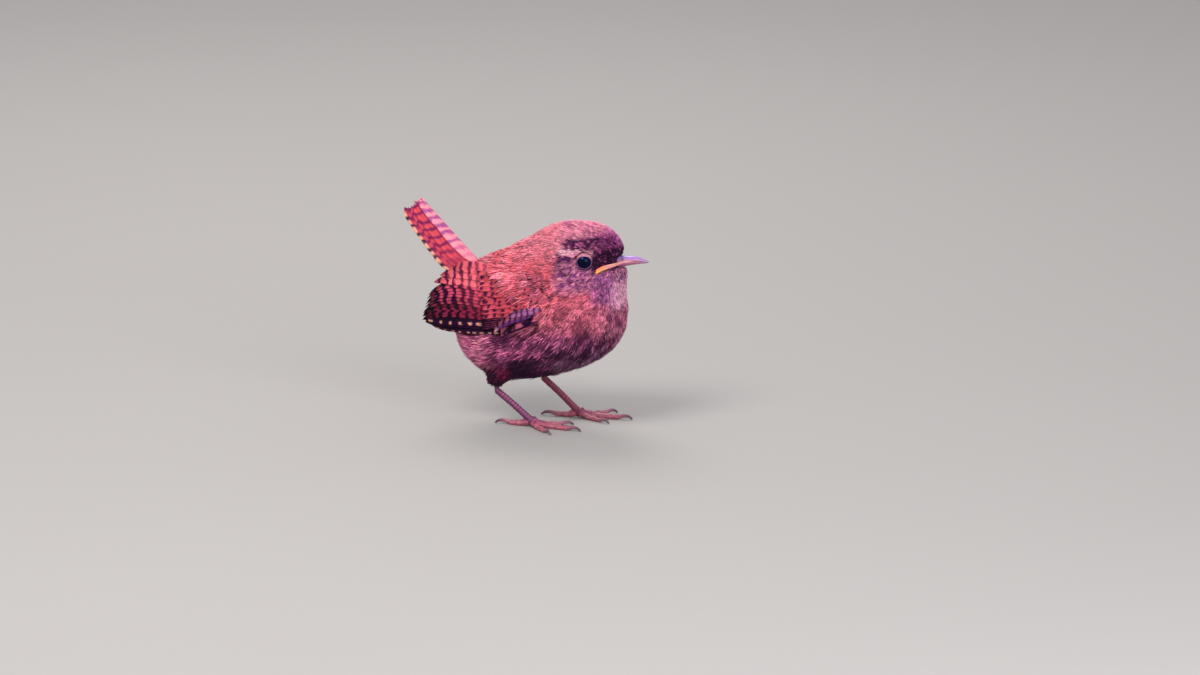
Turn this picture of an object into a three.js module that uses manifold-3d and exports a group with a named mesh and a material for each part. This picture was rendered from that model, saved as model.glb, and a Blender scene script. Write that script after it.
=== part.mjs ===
// A Eurasian wren at life size, standing still on both feet: hunched and fluffed up, tail
// cocked, head turned a little to its left. Sizes are in millimetres. +Z is up, +X is the
// way the body faces and +Y is the bird's left. The finished group is moved so that its
// origin is at the middle of the underside of the whole bird.
import * as THREE from "three";
import { mergeVertices } from "three/addons/utils/BufferGeometryUtils.js";
import Module from "manifold-3d";

const wasm = await Module();
wasm.setup();

const DEG = Math.PI / 180;
const vec = (x, y, z) => new THREE.Vector3(x, y, z);
const LEFT = 1;
const RIGHT = -1;

// Clearance kept between neighbouring solids.
const GAP = 0.3;

// The plumage outline is a smooth union of ellipsoids. Head masses are given in the head's
// own frame: forwards, left and up from the middle of the skull.
const HEAD = { middle: vec(17.0, 1.6, 56.0), yaw: 12 * DEG };
const HEAD_MASSES = [
  { at: vec(-1.6, 0, -0.4), radii: vec(11.2, 9.4, 10.2), pitch: 0 },
  { at: vec(2.8, 0, 0.4), radii: vec(9.3, 5.9, 9.0), pitch: 0 },
  { at: vec(4.6, 0, -7.4), radii: vec(7.6, 7.0, 6.6), pitch: 0 },
  { at: vec(-7.6, 0, -1.6), radii: vec(9.6, 8.6, 11.0), pitch: 0 },
];
const BODY_MASSES = [
  { at: vec(1.5, 0, 34.0), radii: vec(28.0, 17.0, 19.0), pitch: 18 * DEG },
  { at: vec(14.2, 0, 36.4), radii: vec(16.4, 14.6, 15.4), pitch: 0 },
  { at: vec(-0.4, 0.3, 48.8), radii: vec(16.0, 11.2, 11.6), pitch: 29 * DEG },
  { at: vec(-14.0, 0, 40.5), radii: vec(13.0, 10.6, 13.2), pitch: -20 * DEG },
  { at: vec(-12.2, 0, 26.4), radii: vec(12.0, 11.6, 9.0), pitch: -34 * DEG },
];
const MASS_BLEND = 6.0;

// The cuts between head, neck and trunk are parallel: how far each lies behind the middle of
// the skull, along the line of the neck.
const NECK_PITCH = 60 * DEG;
const HEAD_CUT = 6.6;
const TRUNK_CUT = 12.6;

// Bill, in the head's frame: the culmen and keel are the upper and lower edges in profile,
// and the commissure is where the two halves meet.
const BILL = {
  halfWidth: 2.5,
  culmen: [vec(10.0, 0, -0.1), vec(13.0, 0, -0.15), vec(16.6, 0, -0.5), vec(20.6, 0, -2.0)],
  commissure: [vec(10.0, 0, -2.2), vec(13.2, 0, -1.9), vec(16.5, 0, -1.75), vec(20.6, 0, -2.3)],
  keel: [vec(10.0, 0, -4.4), vec(13.0, 0, -3.5), vec(16.8, 0, -2.8), vec(20.2, 0, -2.4)],
};
// The swollen yellow corner of the mouth runs back from the bill along each cheek.
const GAPE = { back: 4.0, drop: -3.9, front: 12.0, frontDrop: -2.0, thickness: 2.0 };
const EYE = { forward: 0.2, up: -0.5, radius: 2.6, out: 1.95 };

// Each folded wing is a curved sheet between its lower edge, from wrist to wing tip, and
// its upper edge, from shoulder to the tips of the tertials. Points are for the left side.
const WING = {
  lower: [vec(12, 14.6, 40.5), vec(6, 16.6, 35.5), vec(-3, 17.2, 31.0), vec(-15, 15.0, 29.2),
    vec(-26, 12.0, 30.0), vec(-34.3, 9.6, 31.6)],
  upper: [vec(12, 14.6, 42.5), vec(5, 14.2, 49.0), vec(-6, 11.0, 52.5), vec(-18, 8.2, 51.6),
    vec(-28.5, 8.0, 45.8), vec(-34.8, 9.0, 36.5)],
  camber: 1.8,
  thickness: 1.9,
  edge: 0.6,
};
const TAIL = {
  root: vec(-16.8, 0, 49.0),
  cock: 45 * DEG,
  length: 31.8,
  shortening: 0.4,
  rootShare: 0.62,
  halfWidth: 12.5,
  taper: 0.25,
  slope: 45 * DEG,
  thickness: 1.1,
};

// Legs: the heel is the backward joint, and the hub is where the toes meet.
const LEGS = [
  { side: RIGHT, name: "right", knee: vec(-8.8, -8.6, 21.5), heel: vec(-11.3, -8.0, 12.0),
    hub: vec(1.8, -9.0, 2.1), heading: -8 * DEG },
  { side: LEFT, name: "left", knee: vec(3.2, 7.6, 22.5), heel: vec(-0.4, 7.2, 13.8),
    hub: vec(12.4, 8.0, 2.1), heading: 6 * DEG },
];
const THIGH = { top: 8.2, cuff: 2.5, end: 0.93 };
const TARSUS = { joint: 1.55, waist: 1.08, hub: 1.9 };
// Toe splay is measured from the foot's heading, outwards.
const TOES = [
  { name: "middle", splay: 0, length: 13.0, claw: 4.4, thickness: 2.3 },
  { name: "inner", splay: -33 * DEG, length: 9.6, claw: 3.8, thickness: 2.0 },
  { name: "outer", splay: 38 * DEG, length: 9.8, claw: 3.8, thickness: 2.1 },
  { name: "hind", splay: 176 * DEG, length: 7.4, claw: 5.0, thickness: 2.4 },
];
// Each toe narrows by this share towards its claw, and its sole is worn flat by this much.
const TOE_TAPER = 0.28;
const TOE_FLAT = 0.16;

const PLUMAGE = { color: 0x8a3f2e, roughness: 0.85, metalness: 0 };
const BARRED = { color: 0x7a3324, roughness: 0.8, metalness: 0 };
const HORN = { color: 0xb98a93, roughness: 0.4, metalness: 0 };
const SOFT_GAPE = { color: 0xe39a50, roughness: 0.5, metalness: 0 };
const BARE_LEG = { color: 0x8a4552, roughness: 0.55, metalness: 0 };
const CLAW_HORN = { color: 0x5c3a48, roughness: 0.4, metalness: 0 };
const EYE_DARK = { color: 0x0a0a12, roughness: 0.08, metalness: 0 };

// Joins and cuts

// Turns a closed geometry into a solid whose faces point outwards.
function solidFrom(geometry) {
  geometry.deleteAttribute("normal");
  geometry.deleteAttribute("uv");
  const merged = mergeVertices(geometry, 1e-3);
  const make = (triVerts) =>
    new wasm.Manifold(
      new wasm.Mesh({ numProp: 3, vertProperties: merged.attributes.position.array, triVerts })
    );
  const faces = new Uint32Array(merged.index.array);
  const made = make(faces);
  return made.volume() > 0 ? made : make(faces.reverse());
}

function meshFrom(name, solid, finish) {
  const made = solid.getMesh();
  const geometry = new THREE.BufferGeometry();
  geometry.setAttribute("position", new THREE.BufferAttribute(made.vertProperties, 3));
  geometry.setIndex(new THREE.BufferAttribute(made.triVerts, 1));
  geometry.computeVertexNormals();
  const mesh = new THREE.Mesh(geometry, new THREE.MeshStandardMaterial(finish));
  mesh.name = name;
  return mesh;
}

// Keeps the part of a solid on the side of a plane that its normal points to.
const trim = (solid, normal, point) =>
  solid.trimByPlane(normal.toArray(), normal.dot(point));

// The plumage outline

function placed(mass, frame) {
  const turn = new THREE.Matrix4().makeRotationY(-mass.pitch).setPosition(mass.at);
  return { inverse: frame.clone().multiply(turn).invert(), radii: mass.radii };
}

const headFrame = new THREE.Matrix4().makeRotationZ(HEAD.yaw).setPosition(HEAD.middle);
const masses = [
  ...BODY_MASSES.map((mass) => placed(mass, new THREE.Matrix4())),
  ...HEAD_MASSES.map((mass) => placed(mass, headFrame)),
];

function smoothMin(a, b, blend) {
  const share = Math.max(blend - Math.abs(a - b), 0) / blend;
  return Math.min(a, b) - (share * share * blend) / 4;
}

// About how far a point lies outside the plumage, negative inside it.
function outside(point) {
  let nearest = Infinity;
  for (const { inverse, radii } of masses) {
    const local = point.clone().applyMatrix4(inverse);
    const scaled = local.clone().divide(radii);
    const slope = scaled.clone().divide(radii).length();
    const distance = (scaled.length() * (scaled.length() - 1)) / Math.max(slope, 1e-9);
    nearest = smoothMin(nearest, distance, MASS_BLEND);
  }
  return nearest;
}

// Where a ray from inside the plumage meets its surface, or a surface that far outside it.
function surfaceAlong(origin, direction, grow = 0) {
  const step = 0.75;
  const at = (t) => origin.clone().addScaledVector(direction, t);
  let far = step;
  while (outside(at(far)) < grow) far += step;
  let near = far - step;
  for (let halving = 0; halving < 16; halving += 1) {
    const middle = (near + far) / 2;
    if (outside(at(middle)) < grow) near = middle;
    else far = middle;
  }
  return at(far);
}

// A sphere with its poles fore and aft, pushed out from a point until it meets the plumage.
function plumageSolid(middle, around, along, grow = 0) {
  const sphere = new THREE.SphereGeometry(1, around, along).rotateZ(-Math.PI / 2);
  const position = sphere.attributes.position;
  for (let i = 0; i < position.count; i += 1) {
    const direction = vec(0, 0, 0).fromBufferAttribute(position, i).normalize();
    position.setXYZ(i, ...surfaceAlong(middle, direction, grow).toArray());
  }
  return solidFrom(sphere);
}

// Swept and sheet-like forms

// A closed tube along a curve. section(t) gives its half-width and half-height, and up is
// the direction that its height leans to.
function sweep(curve, section, up, rings, sides) {
  const tube = new THREE.CylinderGeometry(1, 1, 1, sides, rings);
  const position = tube.attributes.position;
  for (let i = 0; i < position.count; i += 1) {
    const t = 0.5 - position.getY(i);
    const tangent = curve.getTangent(t);
    const side = up.clone().cross(tangent).normalize();
    const lift = tangent.clone().cross(side);
    const [width, height] = section(t);
    const point = curve
      .getPoint(t)
      .addScaledVector(side, position.getX(i) * width)
      .addScaledVector(lift, position.getZ(i) * height);
    position.setXYZ(i, ...point.toArray());
  }
  return solidFrom(tube);
}

// A curved sheet with thickness. middle(s, t) is its middle surface, half(s, t) half of its
// thickness, and grow adds clearance to its faces and edges.
function sheet(middle, half, across, along, grow = 0) {
  const slab = new THREE.BoxGeometry(1, 1, 1, along, across, 1);
  const position = slab.attributes.position;
  const tiny = 0.01;
  for (let i = 0; i < position.count; i += 1) {
    const s = position.getX(i) + 0.5;
    const t = position.getY(i) + 0.5;
    const inS = Math.min(Math.max(s, tiny), 1 - tiny);
    const inT = Math.min(Math.max(t, tiny), 1 - tiny);
    const alongS = middle(inS + tiny, inT).sub(middle(inS - tiny, inT));
    const alongT = middle(inS, inT + tiny).sub(middle(inS, inT - tiny));
    const normal = alongS.clone().cross(alongT).normalize();
    const point = middle(s, t)
      .addScaledVector(alongS.normalize(), Math.sign(s - inS) * grow)
      .addScaledVector(alongT.normalize(), Math.sign(t - inT) * grow)
      .addScaledVector(normal, position.getZ(i) * 2 * (half(s, t) + grow));
    position.setXYZ(i, ...point.toArray());
  }
  return solidFrom(slab);
}

const smooth = (points) => new THREE.CatmullRomCurve3(points, false, "centripetal");

// Head: bill, gape and eyes

function inHead(forwards, left, up) {
  return vec(forwards, left, up).applyMatrix4(headFrame);
}

// One half of the bill, between its outer edge in profile and the commissure.
function billHalf(edge, grow) {
  const outer = smooth(edge);
  const inner = smooth(BILL.commissure);
  const half = new THREE.CylinderGeometry(1, 1, 1, 12, 8);
  const position = half.attributes.position;
  const towardsEdge = Math.sign(edge[0].z - BILL.commissure[0].z);
  for (let i = 0; i < position.count; i += 1) {
    const t = 0.5 - position.getY(i);
    const rim = inner.getPoint(t);
    const peak = outer.getPoint(t);
    const width = BILL.halfWidth * (1 - t) ** 0.72 + 0.28 + grow;
    const side = position.getX(i);
    const rise = Math.max(position.getZ(i), 0);
    const sunk = Math.min(position.getZ(i), 0);
    const height = Math.max(Math.abs(peak.z - rim.z) - GAP / 2, 0.26) + grow;
    const up = rim.z + towardsEdge * (GAP / 2 + rise * height + sunk * grow);
    const reach = t === 1 ? grow : t === 0 ? -grow : 0;
    position.setXYZ(i, ...inHead(rim.x + reach, side * width, up).toArray());
  }
  return solidFrom(half);
}

function gapeSolid(side, grow) {
  const steps = [0, 0.35, 0.7, 1];
  const across = vec(0, side, 0).transformDirection(headFrame);
  const points = steps.map((share) => {
    const forwards = THREE.MathUtils.lerp(GAPE.back, GAPE.front, share);
    const up = THREE.MathUtils.lerp(GAPE.drop, GAPE.frontDrop, share ** 0.85);
    return surfaceAlong(inHead(forwards, 0, up), across, 0.05);
  });
  const half = GAPE.thickness / 2;
  const section = (t) => {
    const swell = Math.sqrt(Math.max(Math.sin(Math.PI * (0.12 + 0.7 * t)), 0));
    return [half * 0.8 * swell + grow, half * swell + grow];
  };
  return sweep(smooth(points), section, vec(0, 0, 1), 8, 8);
}

function eyeMiddle(side) {
  const across = vec(0, side, 0).transformDirection(headFrame);
  const surface = surfaceAlong(inHead(EYE.forward, 0, EYE.up), across);
  return surface.addScaledVector(across, -EYE.out);
}

function ball(middle, radius, around, along) {
  const sphere = new THREE.SphereGeometry(radius, around, along);
  return solidFrom(sphere.translate(...middle.toArray()));
}

// Wings and tail

function wingSolid(side, grow) {
  const lower = smooth(WING.lower);
  const upper = smooth(WING.upper);
  const middle = (s, t) => {
    const point = lower.getPoint(s).lerp(upper.getPoint(s), t);
    point.y += WING.camber * Math.sin(Math.PI * t) * Math.sin(Math.PI * s) ** 0.5;
    const lift = THREE.MathUtils.lerp(-0.6, 1.2, s);
    while (s > 0.2 && outside(point) < lift) point.y += 0.1;
    return point.multiply(vec(1, side, 1));
  };
  const half = (s, t) => {
    const inner = Math.min(1, 5 * Math.min(t, 1 - t), 6 * Math.min(s, 1 - s));
    return THREE.MathUtils.lerp(WING.edge, WING.thickness, inner) / 2;
  };
  return sheet(middle, half, 6, 12, grow);
}

function tailSolid(grow) {
  const back = vec(-Math.cos(TAIL.cock), 0, Math.sin(TAIL.cock));
  const above = vec(Math.sin(TAIL.cock), 0, Math.cos(TAIL.cock));
  const middle = (s, t) => {
    const share = 2 * t - 1;
    const reach = s * (TAIL.length - TAIL.shortening * share ** 4);
    const spread = THREE.MathUtils.lerp(TAIL.rootShare, 1, THREE.MathUtils.smoothstep(s, 0, 0.3));
    const width = TAIL.halfWidth * spread * (1 - TAIL.taper * s * s);
    const run = share * width;
    const ridge = 1.2;
    const fall = Math.hypot(run * Math.sin(TAIL.slope), ridge) - ridge;
    return TAIL.root
      .clone()
      .addScaledVector(back, reach)
      .addScaledVector(above, -fall)
      .add(vec(0, run * Math.cos(TAIL.slope), 0));
  };
  return sheet(middle, () => TAIL.thickness / 2, 12, 7, grow);
}

// Legs and feet

function thighSolid(leg) {
  const end = leg.knee.clone().lerp(leg.heel, THIGH.end);
  const top = leg.knee.clone().add(vec(3, -leg.side * 1.5, 5));
  const curve = smooth([top, leg.knee, leg.knee.clone().lerp(leg.heel, 0.5), end]);
  const section = (t) => {
    const radius = THREE.MathUtils.lerp(THIGH.top, THIGH.cuff, t ** 0.8);
    return [radius * 0.85, radius];
  };
  return sweep(curve, section, vec(1, 0, 0.4), 8, 14);
}

// The bare shank, from just above the heel to the hub of the toes.
function tarsusSolid(leg, grow = 0) {
  const start = leg.knee.clone().lerp(leg.heel, THIGH.end);
  const down = leg.heel.clone().sub(leg.knee).normalize();
  const points = [
    start.addScaledVector(down, GAP - grow),
    leg.heel,
    leg.heel.clone().lerp(leg.hub, 0.5),
    leg.hub.clone().add(vec(-0.5, 0, 0.35)),
    leg.hub.clone().add(vec(0.9, 0, -0.5)),
  ];
  const section = (t) => {
    const joint = Math.exp(-(((t - 0.12) / 0.1) ** 2));
    const hub = Math.exp(-(((t - 0.93) / 0.12) ** 2));
    const radius = TARSUS.waist + (TARSUS.joint - TARSUS.waist) * joint
      + (TARSUS.hub - TARSUS.waist) * hub;
    return [radius * 0.9 + grow, radius + grow];
  };
  return sweep(smooth(points), section, vec(1, 0, 0.7), 12, 10);
}

function toeCurve(leg, toe) {
  const angle = leg.heading + leg.side * toe.splay;
  const away = vec(Math.cos(angle), Math.sin(angle), 0);
  const at = (share, above) => {
    const height = (toe.thickness / 2) * (1 - TOE_TAPER * share) - TOE_FLAT + above;
    return vec(leg.hub.x, leg.hub.y, height).addScaledVector(away, toe.length * share);
  };
  const points = [at(0.08, 0.75), at(0.27, 0.4), at(0.5, 0.02), at(0.75, 0.06), at(1, 0)];
  return { curve: smooth(points), away };
}

function toeSolid(leg, toe, grow = 0) {
  const { curve } = toeCurve(leg, toe);
  const thick = toe.thickness / 2;
  const section = (t) => {
    const joints = 0.06 * Math.cos(t * 6 * Math.PI);
    const radius = thick * (1 - TOE_TAPER * t + joints);
    return [radius + grow, radius + grow];
  };
  return sweep(curve, section, vec(0, 0, 1), 8, 8);
}

// The claw follows on from the toe and hooks down to the ground.
function clawSolid(leg, toe) {
  const { curve, away } = toeCurve(leg, toe);
  const radius = toe.thickness * 0.3;
  const start = curve.getPoint(1).addScaledVector(away, GAP);
  const at = (reach, height) =>
    vec(start.x, start.y, height).addScaledVector(away, reach * toe.claw);
  const points = [at(0, radius + 0.1), at(0.35, radius + 0.55), at(0.75, radius + 0.4),
    at(1, 0.3)];
  const section = (t) => {
    const size = THREE.MathUtils.lerp(radius, 0.25, t ** 1.3);
    return [size * 0.8, size];
  };
  return sweep(smooth(points), section, vec(0, 0, 1), 6, 6);
}

const aboveGround = (solid) => trim(solid, vec(0, 0, 1), vec(0, 0, 0));

function footMeshes(leg) {
  const shank = aboveGround(tarsusSolid(leg));
  const meshes = [meshFrom(`tarsus_${leg.name}`, shank, BARE_LEG)];
  let taken = tarsusSolid(leg, GAP);
  for (const toe of TOES) {
    const solid = aboveGround(toeSolid(leg, toe)).subtract(taken);
    meshes.push(meshFrom(`toe_${toe.name}_${leg.name}`, solid, BARE_LEG));
    meshes.push(
      meshFrom(`claw_${toe.name}_${leg.name}`, aboveGround(clawSolid(leg, toe)), CLAW_HORN)
    );
    taken = taken.add(toeSolid(leg, toe, GAP));
  }
  return meshes;
}

// The whole bird

function buildWren() {
  const bird = new THREE.Group();
  const sides = [[LEFT, "left"], [RIGHT, "right"]];

  const wingRoom = wingSolid(LEFT, GAP).add(wingSolid(RIGHT, GAP));
  const tailRoom = tailSolid(GAP);
  const neckLine = vec(Math.cos(NECK_PITCH), 0, Math.sin(NECK_PITCH));
  const cutPoint = (behind) => HEAD.middle.clone().addScaledVector(neckLine, -behind);
  const behindNeck = neckLine.clone().negate();

  let head = plumageSolid(HEAD.middle, 28, 20);
  head = trim(head, neckLine, cutPoint(HEAD_CUT));
  head = head.subtract(billHalf(BILL.culmen, GAP)).subtract(billHalf(BILL.keel, GAP));
  const billRoom = billHalf(BILL.culmen, GAP).add(billHalf(BILL.keel, GAP));
  for (const [side, name] of sides) {
    const middle = eyeMiddle(side);
    head = head.subtract(ball(middle, EYE.radius + GAP, 12, 8));
    head = head.subtract(gapeSolid(side, GAP));
    bird.add(meshFrom(`eye_${name}`, ball(middle, EYE.radius, 12, 8), EYE_DARK));
    const gape = gapeSolid(side, 0).subtract(billRoom);
    bird.add(meshFrom(`gape_${name}`, gape, SOFT_GAPE));
    bird.add(meshFrom(`wing_${name}`, wingSolid(side, 0), BARRED));
  }
  bird.add(meshFrom("head", head, PLUMAGE));
  bird.add(meshFrom("bill_upper", billHalf(BILL.culmen, 0), HORN));
  bird.add(meshFrom("bill_lower", billHalf(BILL.keel, 0), HORN));

  const throat = cutPoint((HEAD_CUT + TRUNK_CUT) / 2);
  let neck = plumageSolid(throat, 26, 18);
  neck = trim(neck, neckLine, cutPoint(TRUNK_CUT));
  neck = trim(neck, behindNeck, cutPoint(HEAD_CUT + GAP));
  bird.add(meshFrom("neck", neck.subtract(wingRoom), PLUMAGE));

  const trunkMiddle = vec(0, 0, 36);
  let trunk = plumageSolid(trunkMiddle, 32, 22);
  trunk = trim(trunk, behindNeck, cutPoint(TRUNK_CUT + GAP));
  trunk = trunk.subtract(wingRoom).subtract(tailRoom);
  bird.add(meshFrom("trunk", trunk, PLUMAGE));
  bird.add(meshFrom("tail", tailSolid(0), BARRED));

  const trunkRoom = plumageSolid(trunkMiddle, 32, 20, GAP).add(wingRoom);
  for (const leg of LEGS) {
    const thigh = thighSolid(leg).subtract(trunkRoom);
    bird.add(meshFrom(`thigh_${leg.name}`, thigh, PLUMAGE));
    bird.add(...footMeshes(leg));
  }
  return bird;
}

const wren = buildWren();
const extent = new THREE.Box3().setFromObject(wren);
const middle = extent.getCenter(vec(0, 0, 0));
wren.position.set(-middle.x, -middle.y, -extent.min.z);

export default wren;
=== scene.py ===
"""A Eurasian wren at life size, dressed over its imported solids.

One skin takes the place of the solids of flesh, and the coat of tufts, the wing and tail
feathers, the eyes, the bill, the mouth's swollen corners and the claws are fitted round it.
Lengths are in millimetres while a piece is being made, and its mesh is scaled to metres last.
"""

import logging
import math
from dataclasses import dataclass
from enum import Enum
from typing import Callable, Sequence

import bmesh
import bpy
import numpy as np
from bpy.types import ID, Material, Mesh, Node, NodeSocket, Object
from mathutils import Matrix, Vector, noise
from mathutils.bvhtree import BVHTree
from mathutils.kdtree import KDTree

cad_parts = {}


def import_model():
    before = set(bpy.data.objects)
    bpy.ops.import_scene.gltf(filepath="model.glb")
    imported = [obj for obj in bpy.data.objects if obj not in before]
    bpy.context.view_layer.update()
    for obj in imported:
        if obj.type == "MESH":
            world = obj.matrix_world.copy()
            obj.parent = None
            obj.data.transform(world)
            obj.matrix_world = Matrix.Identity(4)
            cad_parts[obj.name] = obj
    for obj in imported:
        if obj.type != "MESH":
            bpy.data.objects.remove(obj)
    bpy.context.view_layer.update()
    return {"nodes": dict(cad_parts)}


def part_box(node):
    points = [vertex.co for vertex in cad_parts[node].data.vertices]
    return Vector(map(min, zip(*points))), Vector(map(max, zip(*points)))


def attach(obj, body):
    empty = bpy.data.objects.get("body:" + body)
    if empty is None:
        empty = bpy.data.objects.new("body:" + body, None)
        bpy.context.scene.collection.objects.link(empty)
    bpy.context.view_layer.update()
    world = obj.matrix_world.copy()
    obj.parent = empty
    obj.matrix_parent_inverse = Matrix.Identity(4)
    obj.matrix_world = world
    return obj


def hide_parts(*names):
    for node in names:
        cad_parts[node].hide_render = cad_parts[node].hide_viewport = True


log = logging.getLogger("wren")

Array = np.ndarray
Linear = tuple[float, float, float]

MM = 0.001
BODY = "root"
SIDES = {"left": 1.0, "right": -1.0}
TOES = ("middle", "inner", "outer", "hind")


# Small tools


def ramp(value: Array, low: float, high: float) -> Array:
    """A smooth step from 0 at low to 1 at high, which may be the other way round."""
    share = np.clip((np.asarray(value, float) - low) / (high - low), 0.0, 1.0)
    return share * share * (3.0 - 2.0 * share)


def band(value: Array, middle: float, half: float, soft: float) -> Array:
    """1 within half of middle, falling softly to 0 beyond it."""
    return 1.0 - ramp(np.abs(np.asarray(value, float) - middle), half, half + soft)


def unit(vectors: Array) -> Array:
    """Vectors brought to length 1."""
    return vectors / np.maximum(np.linalg.norm(vectors, axis=-1, keepdims=True), 1e-9)


def tone(code: str) -> Array:
    """A colour written as six hex digits, as linear red, green and blue."""
    value = np.array([int(code[i : i + 2], 16) for i in (0, 2, 4)]) / 255.0
    return np.where(value <= 0.04045, value / 12.92, ((value + 0.055) / 1.055) ** 2.4)


def tones_of(codes: dict[str, str]) -> dict[str, Array]:
    """Named colours, as linear red, green and blue."""
    return {name: tone(code) for name, code in codes.items()}


def towards(colours: Array, goal: Array, share: Array) -> Array:
    """Colours moved towards a goal by a share for each row."""
    return colours + (goal - colours) * np.asarray(share)[..., None]


def spline(points: Sequence[Sequence[float]], shares: Array) -> Array:
    """Points along a smooth curve through given points.

    Args:
        points: What the curve passes through, evenly spread over shares 0 to 1.
        shares: Where along the curve the wanted points lie.

    Returns:
        One row for each share.
    """
    knots = np.asarray(points, float)
    knots = np.vstack([2 * knots[0] - knots[1], knots, 2 * knots[-1] - knots[-2]])
    place = np.clip(np.asarray(shares, float), 0, 1) * (len(knots) - 3)
    start = np.minimum(place.astype(int), len(knots) - 4)
    t = (place - start)[:, None]
    a, b, c, d = (knots[start + i] for i in range(4))
    return 0.5 * (
        2 * b + (c - a) * t + (2 * a - 5 * b + 4 * c - d) * t**2 + (3 * b - a - 3 * c + d) * t**3
    )


# Meshes


def link(name: str, data: ID) -> Object:
    """Puts a mesh, a lamp or a camera into the scene as an object at the origin."""
    made = bpy.data.objects.new(name, data)
    bpy.context.scene.collection.objects.link(made)
    return made


def from_bmesh(name: str, bm: bmesh.types.BMesh) -> Object:
    """Turns a bmesh into a linked object and frees it."""
    mesh = bpy.data.meshes.new(name)
    bm.to_mesh(mesh)
    bm.free()
    mesh.polygons.foreach_set("use_smooth", np.ones(len(mesh.polygons), bool))
    return link(name, mesh)


def evaluated(made: Object) -> Object:
    """Applies an object's modifiers to its own mesh."""
    graph = bpy.context.evaluated_depsgraph_get()
    mesh = bpy.data.meshes.new_from_object(made.evaluated_get(graph))
    made.modifiers.clear()
    made.data = mesh
    return made


def vertex_array(mesh: Mesh) -> Array:
    """The vertices of a mesh, one row each."""
    flat = np.empty(len(mesh.vertices) * 3, np.float32)
    mesh.vertices.foreach_get("co", flat)
    return flat.reshape(-1, 3).astype(float)


def normal_array(mesh: Mesh) -> Array:
    """The vertex normals of a mesh, one row each."""
    flat = np.empty(len(mesh.vertices) * 3, np.float32)
    mesh.vertex_normals.foreach_get("vector", flat)
    return flat.reshape(-1, 3).astype(float)


def set_vertices(mesh: Mesh, points: Array) -> None:
    """Moves a mesh's vertices to the given rows."""
    mesh.vertices.foreach_set("co", points.astype(np.float32).ravel())
    mesh.update()


def triangle_array(mesh: Mesh) -> Array:
    """The vertex numbers of each triangle of a mesh."""
    mesh.calc_loop_triangles()
    flat = np.empty(len(mesh.loop_triangles) * 3, np.int32)
    mesh.loop_triangles.foreach_get("vertices", flat)
    return flat.reshape(-1, 3)


def surface_tree(mesh: Mesh) -> BVHTree:
    """A tree for finding the nearest point of a mesh."""
    return BVHTree.FromPolygons(vertex_array(mesh).tolist(), triangle_array(mesh).tolist())


def mesh_from_arrays(name: str, points: Array, corners: Array, starts: Array) -> Mesh:
    """Makes a mesh from flat arrays.

    Args:
        name: The mesh's name.
        points: One row for each vertex.
        corners: The vertex number of every face corner, face by face.
        starts: Where each face's corners start in corners.

    Returns:
        The smooth-shaded mesh.
    """
    mesh = bpy.data.meshes.new(name)
    mesh.vertices.add(len(points))
    mesh.vertices.foreach_set("co", points.astype(np.float32).ravel())
    mesh.loops.add(len(corners))
    mesh.loops.foreach_set("vertex_index", corners.astype(np.int32))
    mesh.polygons.add(len(starts))
    mesh.polygons.foreach_set("loop_start", starts.astype(np.int32))
    mesh.polygons.foreach_set("use_smooth", np.ones(len(starts), bool))
    mesh.update(calc_edges=True)
    return mesh


def paint(mesh: Mesh, name: str, colours: Array) -> None:
    """Stores a linear colour for each vertex."""
    layer = mesh.attributes.new(name, "FLOAT_COLOR", "POINT")
    rows = np.ones((len(colours), 4), np.float32)
    rows[:, :3] = colours
    layer.data.foreach_set("color", rows.ravel())


def number(mesh: Mesh, name: str, values: Array) -> None:
    """Stores a number for each vertex."""
    layer = mesh.attributes.new(name, "FLOAT", "POINT")
    layer.data.foreach_set("value", np.asarray(values, np.float32).ravel())


def bake_map(mesh: Mesh, places: Array) -> None:
    """Stores the UV map for baking, from a place for each vertex."""
    corner = np.empty(len(mesh.loops), np.int32)
    mesh.loops.foreach_get("vertex_index", corner)
    layer = mesh.uv_layers.new(name="OFBake")
    layer.data.foreach_set("uv", places[corner].astype(np.float32).ravel())


def wrapped(name: str, around: int, along: int, place: Callable[[float, float], Sequence[float]]) -> Object:
    """A closed surface wound round a line, from a grid whose seam and ends are welded.

    Args:
        name: The object's name.
        around: Steps round the line.
        along: Steps along the line.
        place: Gives the point for an angle in radians and a share from 0 to 1.

    Returns:
        The linked object, with any open ends filled.
    """
    bm = bmesh.new()
    bmesh.ops.create_grid(bm, x_segments=around, y_segments=along, size=0.5)
    for vert in bm.verts:
        vert.co = Vector(place((vert.co.x + 0.5) * math.tau, vert.co.y + 0.5))
    bmesh.ops.remove_doubles(bm, verts=bm.verts, dist=1e-4)
    bmesh.ops.holes_fill(bm, edges=[edge for edge in bm.edges if edge.is_boundary])
    bmesh.ops.recalc_face_normals(bm, faces=bm.faces)
    return from_bmesh(name, bm)


def joined(name: str, parts: Sequence[Object]) -> Object:
    """Joins objects of one material each into a new object, and removes them."""
    bm = bmesh.new()
    finishes: list[Material] = []
    for part in parts:
        finish = part.data.materials[0]
        if finish not in finishes:
            finishes.append(finish)
        before = len(bm.faces)
        bm.from_mesh(part.data)
        bm.faces.ensure_lookup_table()
        for face in bm.faces[before:]:
            face.material_index = finishes.index(finish)
        bpy.data.objects.remove(part)
    made = from_bmesh(name, bm)
    for finish in finishes:
        made.data.materials.append(finish)
    return made


def dress(made: Object, finish: Material) -> Object:
    """Gives an object its one material."""
    made.data.materials.clear()
    made.data.materials.append(finish)
    return made


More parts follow.
